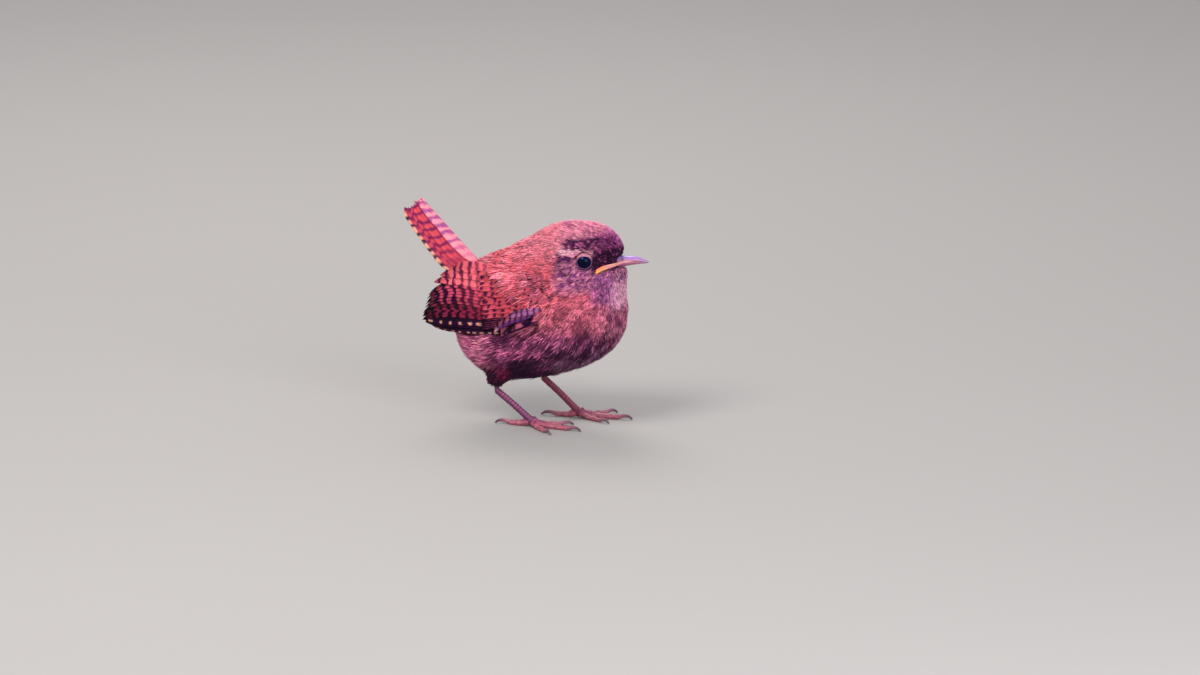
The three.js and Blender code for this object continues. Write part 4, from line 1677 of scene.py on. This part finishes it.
class VaneSheet:
    """Vanes that share one pattern of points, gathered into one piece.

    A vane's own coordinates are along, from its root to its tip, and across, from -1 at the
    edge that lies over the next vane to 1 at the edge that the last one covers.
    """

    ROWS = 22
    COLUMNS = (-1.0, -0.64, -0.3, -0.07, 0.07, 0.3, 0.64, 1.0)
    BARB = 0.17
    SHAFT_HALF = 0.1
    ROOT_WIDTH = 0.45
    NICKED = 0.13

    def __init__(self, random: np.random.Generator) -> None:
        """Makes the pattern of points that every vane has."""
        self.random = random
        bm = bmesh.new()
        steps = len(self.COLUMNS) - 1
        bmesh.ops.create_grid(bm, x_segments=steps, y_segments=self.ROWS - 1, size=0.5)
        bm.verts.index_update()
        places = np.array([vert.co[:2] for vert in bm.verts]) + 0.5
        self.faces = np.array([[vert.index for vert in face.verts] for face in bm.faces])
        bm.free()
        self.along = places[:, 1]
        self.across = np.interp(places[:, 0], np.linspace(0, 1, steps + 1), self.COLUMNS)
        names = ("points", "hue", "bar_hue", "bars", "thin", "barbs")
        self.layers: dict[str, list[Array]] = {name: [] for name in names}

    def spread(self, webs: tuple[float, float], blunt: float = 0.2, point: float = 0.5) -> Array:
        """How far each point lies across from the shaft, with a shaped tip and a few nicks."""
        blunt = np.where(self.across > 0, min(1.7 * blunt, 0.6), blunt)
        past = np.maximum(self.along - 1 + blunt, 0) / blunt
        tip = np.clip(1 - past**2, 0.0001, 1) ** point
        base = self.ROOT_WIDTH + (1 - self.ROOT_WIDTH) * ramp(self.along, 0.0, 0.35)
        width = np.where(self.across < 0, webs[0], webs[1])
        nick = 1 - self.NICKED * self.random.random(len(self.along)) * (np.abs(self.across) > 0.9)
        return self.across * width * tip * base * nick

    def on_shaft(self) -> Array:
        """Which points lie on the shaft."""
        return np.abs(self.across) < self.SHAFT_HALF

    def relief(self, tilt: float, crown: float, shaft: float) -> Array:
        """How far each point stands out: the covering edge high, the shaft as a ridge."""
        ridge = shaft * self.on_shaft() * (1 - 0.6 * self.along)
        return -tilt * self.across + crown * (1 - self.across**2) + ridge

    def add(
        self, points: Array, hue: Array, bar_hue: Array, bars: Array, thin: Array, length: float
    ) -> None:
        """Adds one vane.

        Args:
            points: Its points, in the row frame.
            hue: Their ground colour.
            bar_hue: Their bar colour.
            bars: How many bars lie before each.
            thin: How narrow its bars are, from -1 for all bar to 1 for none.
            length: The vane's length, for its barbs.
        """
        barbs = (self.along * length - 1.1 * np.abs(self.across)) / self.BARB
        for name, value in zip(self.layers, (points, hue, bar_hue, bars, thin, barbs)):
            self.layers[name].append(value)

    def build(self, name: str, thickness: float) -> Object:
        """Joins the vanes and gives them thickness, each with its own cell of the bake map."""
        count, size = len(self.layers["points"]), len(self.along)
        faces = (self.faces[None] + size * np.arange(count)[:, None, None]).reshape(-1, 4)
        points = np.concatenate(self.layers["points"])
        mesh = mesh_from_arrays(name, points, faces.ravel(), np.arange(len(faces)) * 4)
        for layer in ("hue", "bar_hue"):
            paint(mesh, layer, np.clip(np.concatenate(self.layers[layer]), 0, 1))
        for layer in ("bars", "thin", "barbs"):
            number(mesh, layer, np.concatenate(self.layers[layer]))
        wide = max(int(math.ceil(math.sqrt(count * 3))), 1)
        tall = int(math.ceil(count / wide))
        cell = np.repeat(np.arange(count), size)
        u = (cell % wide + 0.06 + 0.88 * (np.tile(self.across, count) + 1) / 2) / wide
        v = (cell // wide + 0.03 + 0.94 * np.tile(self.along, count)) / tall
        bake_map(mesh, np.stack([u, v], 1))
        made = link(name, mesh)
        solid = made.modifiers.new("thickness", "SOLIDIFY")
        solid.thickness = thickness
        solid.offset = 0.0
        solid.use_even_offset = False
        return evaluated(made)


@dataclass(frozen=True)
class VanePaint:
    """How one tract's vanes are coloured.

    Attributes:
        ground, bar, edge, edge_bar, tip: Colours, the last two only where named.
        pitch, thin: From bar to bar, and how narrow bars are, from -1 for all bar to 1 for none.
        edge_from: Where across the edge's colours start.
        spots: The middle and half width across of bars cut down to spots.
        seam, inside: From where across the covered web is darker, and how much, partly the inner web's own
            duskier colour and partly painted shadow under the vane over it.
        dusk, faint: How dark the tip is, and how faint the bars are near the root.
        tipped: The share of vanes with the tip's colour.
        paler: How much paler the tract's highest vane is than its lowest.
        from_tip: Whether bars are counted from each vane's own tip.
    """

    ground: str
    bar: str
    edge: str
    pitch: float = 2.2
    thin: float = 0.3
    edge_from: float = 0.7
    edge_bar: str = ""
    spots: tuple[float, float] | None = None
    seam: float = 0.2
    inside: float = 0.65
    dusk: float = 0.0
    faint: float = 0.0
    tip: str = ""
    tipped: float = 0.5
    paler: float = 0.0
    from_tip: bool = False

    DARK = "1a0418"


@dataclass(frozen=True)
class Tract:
    """One row of vanes on a folded wing, from the lowest to the highest.

    Curves hold (forwards, up) in the bird's own coordinates.

    Attributes:
        name, count, paint: The tract's name, its vanes in a row and their colours.
        roots, tips: Curves that the vanes start from and end on.
        webs: How wide a vane is on each side of its shaft.
        sunk: How deep the lowest and highest vane lie under the wing's face.
        rows, step: How many rows there are, and how far each lies from the one behind.
        bow, tilt: How far a vane curves up, of its length, and its covering edge stands out.
        blunt, point: How much of a vane its tip takes up, and how sharp it is.
    """

    name: str
    count: int
    roots: tuple[tuple[float, float], ...]
    tips: tuple[tuple[float, float], ...]
    webs: tuple[float, float]
    sunk: tuple[float, float]
    paint: VanePaint
    rows: int = 1
    step: tuple[float, float] = (0.0, 0.0)
    bow: float = 0.05
    tilt: float = 0.24
    blunt: float = 0.2
    point: float = 0.5


TRACTS = (
    Tract(
        "primary_edge", 1, ((2, 32.5),), ((-31.4, 32.3),), (1.0, 1.5), (1.5, 1.5),
        VanePaint("24062a", "24062a", "24062a", 2.5, 0.15, 0.5, "e89c90"), bow=-0.035,
    ),
    Tract(
        "primaries", 3, ((1, 33.2), (-1, 34.6)), ((-33.0, 33.0), (-33.9, 33.9)), (0.9, 1.5),
        (1.4, 1.15), VanePaint("24082a", "380c30", "24082a", 3.0, 0.2), bow=-0.005,
    ),
    Tract(
        "dotted_primary", 1, ((-1, 34.9),), ((-33.6, 34.3),), (1.5, 3.3), (1.08, 1.08),
        VanePaint("24062a", "f0a48c", "24062a", 3.33, 0.6, spots=(-0.42, 0.12)), bow=-0.01,
    ),
    Tract(
        "outer_secondaries", 6, ((-1, 35.0), (-3, 37.8)), ((-34.1, 34.0), (-33.7, 36.4)), (0.75, 2.7),
        (1.05, 0.8), VanePaint("84203c", "1c041c", "9c2c50", 2.9, -0.1, 0.6, seam=-0.1, dusk=0.95, faint=0.3),
        bow=0.06, blunt=0.26, point=0.7,
    ),
    Tract(
        "secondaries", 6, ((-3, 38.2), (-6, 44.8)), ((-33.5, 36.9), (-32.6, 39.8), (-32.0, 42.2)),
        (1.0, 1.7), (0.8, 0.45),
        VanePaint("a4364e", "28062a", "b84856", 3.0, 0.0, 0.6, seam=0.05, dusk=0.92, faint=0.35, paler=0.6),
        bow=0.12, blunt=0.3, point=0.8,
    ),
    Tract(
        "tertials", 3, ((-6.5, 46.6), (-8, 51.4)), ((-29.8, 46.8), (-27.6, 49.3), (-23.6, 51.8)),
        (1.9, 2.4), (0.42, 0.15),
        VanePaint("dc5e6a", "481038", "de6c70", 2.6, 0.3, 0.8, seam=0.45, inside=0.25, dusk=0.6, faint=0.35),
        bow=0.06, blunt=0.3, point=0.75,
    ),
    Tract(
        "primary_coverts", 6, ((5, 35), (3.6, 37)), ((-14.0, 32.2), (-12.4, 36.4)), (1.0, 1.4),
        (0.75, 0.55), VanePaint("300830", "180418", "702448", 2.6, 0.2, 0.62, "b45458", dusk=0.5),
    ),
    Tract(
        "greater_coverts", 9, ((0.5, 38), (-1.5, 44), (-4, 50)),
        ((-13.4, 36.4), (-14.3, 40.6), (-15.0, 45.6), (-16.4, 50.4)), (1.05, 1.5), (0.4, 0.1),
        VanePaint(
            "bc4454", "380a30", "cc5c5c", 3.2, 0.2, 0.7, spots=(0.1, 0.55), seam=0.45, inside=0.3,
            faint=0.4, from_tip=True,
        ),
        tilt=0.2,
    ),
    Tract(
        "median_coverts", 7, ((4.5, 38.5), (2.5, 44), (-1, 49.5)),
        ((-8.2, 36.6), (-8.8, 41.5), (-9.8, 47.6)), (1.15, 1.45), (0.12, -0.05),
        VanePaint(
            "b84050", "30082c", "c4505a", 3.0, 0.1, 0.8, spots=(-0.1, 0.3), seam=0.45, inside=0.2,
            faint=0.5, from_tip=True,
        ),
        tilt=0.2, blunt=0.34,
    ),
    Tract(
        "lesser_coverts", 5, ((6.8, 39.8), (5.5, 43.2), (3.5, 46.8)),
        ((-0.4, 38.4), (-1.0, 41.6), (-2.6, 46.0)), (1.05, 1.25), (0.0, -0.15),
        VanePaint(
            "b44450", "2c0828", "c0505a", 2.6, 0.1, 0.8, spots=(-0.1, 0.26), inside=0.2,
            tip="ffc4b8", tipped=0.3, from_tip=True,
        ),
        rows=2, step=(-3.0, 0.1), tilt=0.2, blunt=0.45,
    ),
    Tract(
        "low_alula", 1, ((5.5, 36.9),), ((-6.6, 30.4),), (1.3, 1.3), (-0.3, -0.3),
        VanePaint("200628", "c85c78", "200628", 7.0, 0.0, spots=(0.15, 0.35)), tilt=0.2, bow=0.06,
        blunt=0.4,
    ),
    Tract(
        "middle_alula", 1, ((5.0, 38.8),), ((-9.3, 31.6),), (1.35, 1.35), (-0.5, -0.5),
        VanePaint("c06080", "280838", "5c2c60", 2.0, 0.35, -0.1, "40184c", tip="d89098", tipped=1.0),
        tilt=0.2, bow=0.09, blunt=0.3,
    ),
    # The upper alula's lilac ground is partly painted sheen over a dark purple feather.
    Tract(
        "upper_alula", 1, ((6.9, 40.6),), ((-4.6, 37.3),), (1.5, 1.0), (-0.7, -0.7),
        VanePaint("9c5886", "4c2450", "a868a0", 2.1, 0.3, 0.6), tilt=0.2, blunt=0.4, bow=0.04,
    ),
)


@dataclass
class Wing:
    """One folded wing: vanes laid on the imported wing's outer face, tract by tract."""

    side: str
    marks: Landmarks
    flesh: Flesh
    finish: Material
    thickness: float = 0.12
    droop: float = 2.6
    seed: int = 21

    PLANE = 14.0
    SLANT = (-0.325, -0.243)
    BOW_SCALE = 1.87
    RELIEF = (0.12, 0.07)
    HEADING = (-1.0, -0.06)
    ARM_REAR = -6.0

    def __post_init__(self) -> None:
        """Starts this wing's random numbers."""
        self.random = np.random.default_rng(self.seed)
        self.sign = SIDES[self.side]
        self.tree = self.flesh.wing_trees[self.side]

    def face(self, flat: Array) -> Array:
        """Places on the wing's face, in the bird's own coordinates.

        Args:
            flat: Forwards and up on an upright plane beside the wing, which the face is seen
                through a little from ahead and above.

        Returns:
            The places seen there.
        """
        found = np.empty((len(flat), 3))
        forwards, up = self.SLANT
        way = Vector((forwards, -self.sign, up)).normalized()

        def inside(x: float, z: float, depth: float) -> tuple[float, float, float]:
            """The place seen at x and z on the plane, that deep behind it."""
            return x + depth * forwards, (self.PLANE - depth) * self.sign, z + depth * up

        for i, (x, z) in enumerate(flat):
            start = Vector(self.marks.row(inside(x, z, -20.0)))
            hit = self.tree.ray_cast(start, way, 60.0)[0]
            if hit is None:
                hit = self.tree.find_nearest(Vector(self.marks.row(inside(x, z, 4.0))))[0]
            found[i] = inside(x, z, self.PLANE - abs(self.marks.bird(np.array(hit))[1]))
        return found

    def vane(self, sheet: VaneSheet, tract: Tract, share: float, row: int) -> None:
        """Lays one vane of a tract.

        Args:
            sheet: Where it is gathered.
            tract: Its tract.
            share: 0 for the lowest vane of the tract, 1 for the highest.
            row: Its row, counted from the hindmost.
        """
        push = np.array(tract.step) * row
        if self.side == "left" and tract.name == "tertials":
            push = push - np.array([0.0, self.droop * share])
        root, tip = (
            (spline(line, np.array([share]))[0] if len(line) > 1 else np.array(line[0])) + push
            for line in (tract.roots, tract.tips)
        )
        tip = tip + self.random.normal(0, 0.4 if tract.paint.from_tip else 0.12, 2)
        line = tip - root
        length = float(np.linalg.norm(line))
        up = np.array([line[1], -line[0]]) / length
        up *= np.sign(up[1])
        t = sheet.along
        bow = tract.bow * length * self.BOW_SCALE * (t - t**5)
        middle = root + t[:, None] * line + bow[:, None] * up
        off = sheet.spread(tract.webs, tract.blunt, tract.point)
        flat = middle + off[:, None] * up
        sunk = tract.sunk[0] + (tract.sunk[1] - tract.sunk[0]) * share - 0.12 * row
        out = sheet.relief(tract.tilt, *self.RELIEF) - sunk
        places = self.face(flat)
        places[:, 1] += self.sign * out
        points = self.marks.row(places)
        count = (flat @ np.array(self.HEADING) + self.random.normal(0, 0.28)) / tract.paint.pitch
        if tract.paint.from_tip:
            start = 0.25 + self.random.normal(0, 0.12)
            count = start - (length * (1 - t) - 0.55 + 0.7 * sheet.across**2) / tract.paint.pitch
        self.coloured(sheet, tract.paint, points, count, length, share)

    def coloured(
        self, sheet: VaneSheet, paints: VanePaint, points: Array, bars: Array, length: float, share: float
    ) -> None:
        """Colours a vane and adds it to its sheet."""
        across, t = sheet.across, sheet.along
        ground, dark = tone(paints.ground), tone(paints.DARK)
        edge = ramp(across, -paints.edge_from, -paints.edge_from - 0.25)
        base = np.tile(ground * (1 + paints.paler * share), (len(t), 1))
        bar = np.tile(tone(paints.bar), (len(t), 1))
        if paints.spots is not None:
            middle, half = paints.spots
            middle += self.random.normal(0, 0.18) * paints.from_tip
            bar = towards(bar, ground, 1 - band(across, middle, half, 0.3))
        bar = towards(bar, ground, paints.faint * ramp(t, 0.7, 0.3))
        hue = towards(base, tone(paints.edge), edge)
        if paints.edge_bar:
            bar = towards(bar, tone(paints.edge_bar), edge)
        if paints.tip:
            end = ramp(t, 0.86, 0.93) * band(across, -0.1, 0.5, 0.3)
            end = end * (self.random.random() < paints.tipped)
            hue, bar = (towards(part, tone(paints.tip), end) for part in (hue, bar))
        dusk = paints.dusk * ramp(t, 0.76, 1.0)
        hue, bar = (towards(part, dark, dusk) for part in (hue, bar))
        # The covered web is darkened, partly its own duskier colour and partly painted shadow under the edge
        # of the vane over it.
        near_tip = 0.3 + 0.7 * ramp(t, 0.4, 0.75)
        inside = 1 - paints.inside * near_tip * ramp(across, paints.seam - 0.45, paints.seam)
        spread = 0.15 if paints.from_tip else 0.08
        fade = self.random.normal(1.0, spread) * inside * (1 - 0.2 * sheet.on_shaft())
        thin = np.full(len(t), paints.thin)
        sheet.add(points, hue * fade[:, None], bar * fade[:, None], bars, thin, length)

    def build(self) -> None:
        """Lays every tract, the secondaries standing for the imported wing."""
        for tract in TRACTS:
            sheet = VaneSheet(self.random)
            for row in range(tract.rows):
                for share in np.linspace(0, 1, tract.count):
                    self.vane(sheet, tract, float(share), row)
            made = sheet.build(f"{tract.name}_{self.side}", self.thickness)
            stands_for = [f"wing_{self.side}"] if tract.name == "secondaries" else []
            finish_piece(made, stands_for, self.finish)

    def core(self, markings: Markings, finish: Material) -> Object:
        """The feathered arm inside the wing's fore part, which the shoulder's tufts grow from."""
        arm = link("arm", self.flesh.wings[self.side].data.copy())
        depth = self.flesh.arm_depth * normal_array(arm.data)
        set_vertices(arm.data, vertex_array(arm.data) - depth)
        bm = bmesh.new()
        bm.from_mesh(arm.data)
        bpy.data.objects.remove(arm)
        rear = self.marks.row([self.ARM_REAR, 0.0, 0.0])
        whole = [*bm.verts, *bm.edges, *bm.faces]
        bmesh.ops.bisect_plane(bm, geom=whole, plane_co=rear, plane_no=(-1, 0, 0), clear_outer=True)
        bmesh.ops.holes_fill(bm, edges=[edge for edge in bm.edges if edge.is_boundary])
        made = from_bmesh(f"arm_{self.side}", bm)
        # Painted in the coat's colours, darker by painted shade, as it lies under the shoulder's tufts.
        markings.shade(made.data)
        return dress(made, finish)


@dataclass
class Tail:
    """Twelve cocked tail feathers, folded like a low roof over the rump."""

    marks: Landmarks
    finish: Material
    root: tuple[float, float, float] = (-16.8, 0.0, 49.0)
    cock: float = 45.0
    length: float = 31.6
    shortening: float = -1.3
    half_width: float = 12.5
    root_share: float = 0.62
    taper: float = 0.25
    slope: float = 45.0
    ridge: float = 1.2
    web: float = 2.7
    pitch: float = 3.25
    thickness: float = 0.14
    seed: int = 5

    SHARES = (0.22, 0.4, 0.57, 0.73, 0.87, 1.0)
    SHADOWS = (0.0, 0.7, 0.2, 0.6, 0.25, 0.3)
    RELIEF = (0.18, 0.14, 0.09)
    # The middle pair's paler pink ground and lilac bars are painted sheen over the rufous, where the light
    # glances off the top vanes.
    TONES = {
        "middle": "f08894", "middle_bar": "984c80", "ground": "cc4854", "bar": "641448",
        "rim": "e09c84", "rim_bar": "240620", "shadow": "3c0c2c",
    }

    def surface(self, reach: Array, run: Array) -> tuple[Array, Array]:
        """Points and upward normals of the roof that the vanes lie on.

        Args:
            reach: Lengths from the tail's root towards its tip.
            run: Lengths down the roof from its ridge, positive on the left.

        Returns:
            The points and normals, in the row frame.
        """
        cock, slope = math.radians(self.cock), math.radians(self.slope)
        back = np.array([-math.cos(cock), 0, math.sin(cock)])
        above = np.array([math.sin(cock), 0, math.cos(cock)])
        side = np.array([0.0, 1.0, 0.0])
        steep = np.hypot(run * math.sin(slope), self.ridge)
        points = np.array(self.root) + reach[:, None] * back - (steep - self.ridge)[:, None] * above
        points = points + (run * math.cos(slope))[:, None] * side
        fall = run * math.sin(slope) ** 2 / steep
        downhill = side * math.cos(slope) - fall[:, None] * above
        return self.marks.row(points), unit(np.cross(downhill, back))

    def build(self) -> None:
        """Lays the feathers from the outermost up to the middle pair."""
        random = np.random.default_rng(self.seed)
        sheet = VaneSheet(random)
        tones = tones_of(self.TONES)
        shares = [share * side for share in reversed(self.SHARES) for side in (1.0, -1.0)]
        for share in shares:
            side = math.copysign(1.0, share)
            place = abs(share)
            length = self.length - self.shortening * place**4 + random.normal(-0.3, 0.2)
            t, across = sheet.along, sheet.across
            half = self.root_share + (1 - self.root_share) * ramp(t, 0, 0.3)
            half = self.half_width * half * (1 - self.taper * t**2)
            out = -sheet.spread((self.web, self.web), 0.13) * side * half / self.half_width
            run = share * (half - self.web * half / self.half_width) + out
            points, normals = self.surface(t * length, run)
            lift = sheet.relief(*self.RELIEF) + 0.45 - 0.75 * place - 0.06 * side
            points += lift[:, None] * normals
            bars = (t * length - 0.4 * np.abs(run) + random.normal(0, 0.3)) / self.pitch
            middle = place < 0.3
            # The middle pair takes its paler pink ground and lilac bars: painted sheen over the rufous.
            hue = np.tile(tones["middle" if middle else "ground"], (len(t), 1))
            hue = hue * random.normal(1.0, 0.07)
            bar = np.tile(tones["middle_bar" if middle else "bar"], (len(t), 1))
            bar = towards(bar, hue, 0.6 * ramp(t, 0.5, 0.15))
            # Outer vanes, lower down the roof's slope, are painted darker: painted shade.
            hue = towards(hue, tones["bar"], 0.25 * ramp(place, 0.5, 0.9))
            if place == 1.0:
                rim = ramp(across, -0.3, -0.7)
                hue, bar = towards(hue, tones["rim"], rim), towards(bar, tones["rim_bar"], rim)
            weight = self.SHADOWS[self.SHARES.index(place)]
            hue = towards(hue, tones["shadow"], weight * band(across, -0.35, 0.12, 0.25))
            dim = (1 - 0.12 * sheet.on_shaft())[:, None]
            thin = np.full(len(t), -0.1 if middle else 0.3) - 0.3 * (place == 1.0)
            sheet.add(points, hue * dim, bar * dim, bars, thin, length)
        finish_piece(sheet.build("tail_feathers", self.thickness), ["tail"], self.finish)


# The room


@dataclass
class Studio:
    """A pale floor, soft light and the camera at the photograph's angle."""

    marks: Landmarks
    azimuth: float = 18.0
    elevation: float = 13.0
    lens: float = 400.0
    distance: float = 4.33
    aside: float = 0.021125
    above: float = 0.0268
    floor_half: float = 4.0

    LIGHTS = (
        ("key", (-0.2, -0.5, 0.72), 0.4, 6.4, (1.0, 0.97, 0.96)),
        ("fill", (0.55, -0.5, 0.34), 0.6, 4.6, (0.95, 0.95, 1.0)),
        ("rim", (-0.25, 0.45, 0.6), 0.4, 3.2, (1.0, 0.95, 0.96)),
    )

    def floor(self) -> None:
        """Lays the floor at the level of the soles."""
        bm = bmesh.new()
        bmesh.ops.create_grid(bm, x_segments=8, y_segments=8, size=self.floor_half)
        dress(from_bmesh("pale_floor", bm), PaleFloor().material())

    def light(self) -> None:
        """Hangs three soft lights and a pale sky."""
        aim = Vector((0, 0, 0.035))
        for name, place, size, power, tint in self.LIGHTS:
            lamp = bpy.data.lights.new(name, "AREA")
            lamp.shape = "DISK"
            lamp.size = size
            lamp.energy = power
            lamp.color = tint
            made = link(name, lamp)
            made.location = place
            made.rotation_euler = (aim - Vector(place)).to_track_quat("-Z", "Y").to_euler()
        world = bpy.data.worlds.new("studio_sky")
        world.use_nodes = True
        sky = world.node_tree.nodes["Background"]
        sky.inputs["Color"].default_value = (0.86, 0.87, 0.9, 1.0)
        sky.inputs["Strength"].default_value = 0.9
        bpy.context.scene.world = world
        bpy.context.scene.view_settings.view_transform = "Standard"

    def camera(self) -> None:
        """Sets the camera so that the stance falls where the photograph has it."""
        turn, tilt = math.radians(self.azimuth), math.radians(self.elevation)
        right = Vector((math.cos(turn), math.sin(turn), 0))
        back = Vector((math.sin(turn) * math.cos(tilt), -math.cos(turn) * math.cos(tilt), math.sin(tilt)))
        up = back.cross(right)
        aim = Vector(self.marks.origin * MM) + right * self.aside + up * self.above
        camera = link("camera", bpy.data.cameras.new("camera"))
        camera.data.lens = self.lens
        camera.data.clip_start = 0.05
        camera.data.clip_end = 60.0
        camera.location = aim + back * self.distance
        camera.rotation_mode = "QUATERNION"
        camera.rotation_quaternion = (-back).to_track_quat("-Z", "Y")
        bpy.context.scene.camera = camera

    def build(self) -> None:
        """Makes the room."""
        self.floor()
        self.light()
        self.camera()


def main() -> None:
    """Builds the wren round its frame."""
    logging.basicConfig(level=logging.INFO, format="%(message)s")
    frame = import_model()
    marks = Landmarks.measured()
    markings = Markings(marks)
    flesh = Flesh(frame["nodes"], marks)
    down = SoftPlumage().material()
    vane = BarredVane().material()
    leg_skin = BareSkin("leg_skin_scales", 0.45, 5200.0, 0.05, 0.04).material()
    lid_skin = BareSkin("lid_beads", 0.5, 7000.0, 0.03).material()
    gape_skin = BareSkin("gape_skin", 0.38, 4200.0, 0.03, 0.3).material()

    Studio(marks).build()
    wings = [Wing(side, marks, flesh, vane) for side in SIDES]
    legs = Legs(flesh, marks, leg_skin)
    eyes = Eyes(marks, WetEye().material(), lid_skin)
    parts = [flesh.under_skin(markings, down)]
    parts += [wing.core(markings, down) for wing in wings]
    parts += [legs.skin(side) for side in SIDES]
    parts += [eyes.lid(side) for side in SIDES]
    skin = joined("skin", parts)
    covered = [*Flesh.BODY, *(f"tarsus_{side}" for side in SIDES)]
    covered += [f"toe_{toe}_{side}" for toe in TOES for side in SIDES]
    finish_piece(skin, covered)
    for side in SIDES:
        eyes.ball(side)
    bill = Bill(marks, Horn().material())
    bill.build()
    gape = Gape(marks, flesh, bill, gape_skin)
    for side in SIDES:
        gape.build(side)
    Claws(frame["nodes"], Horn("claw_horn", 0.38).material()).build()
    for wing in wings:
        wing.build()
    Tail(marks, BarredVane("tail_vane", soft=1.2).material()).build()
    share = 1.0
    Coat(flesh, marks, markings, CoatLie(marks), down, share).build()
    flesh.clear()


if __name__ == "__main__":
    main()
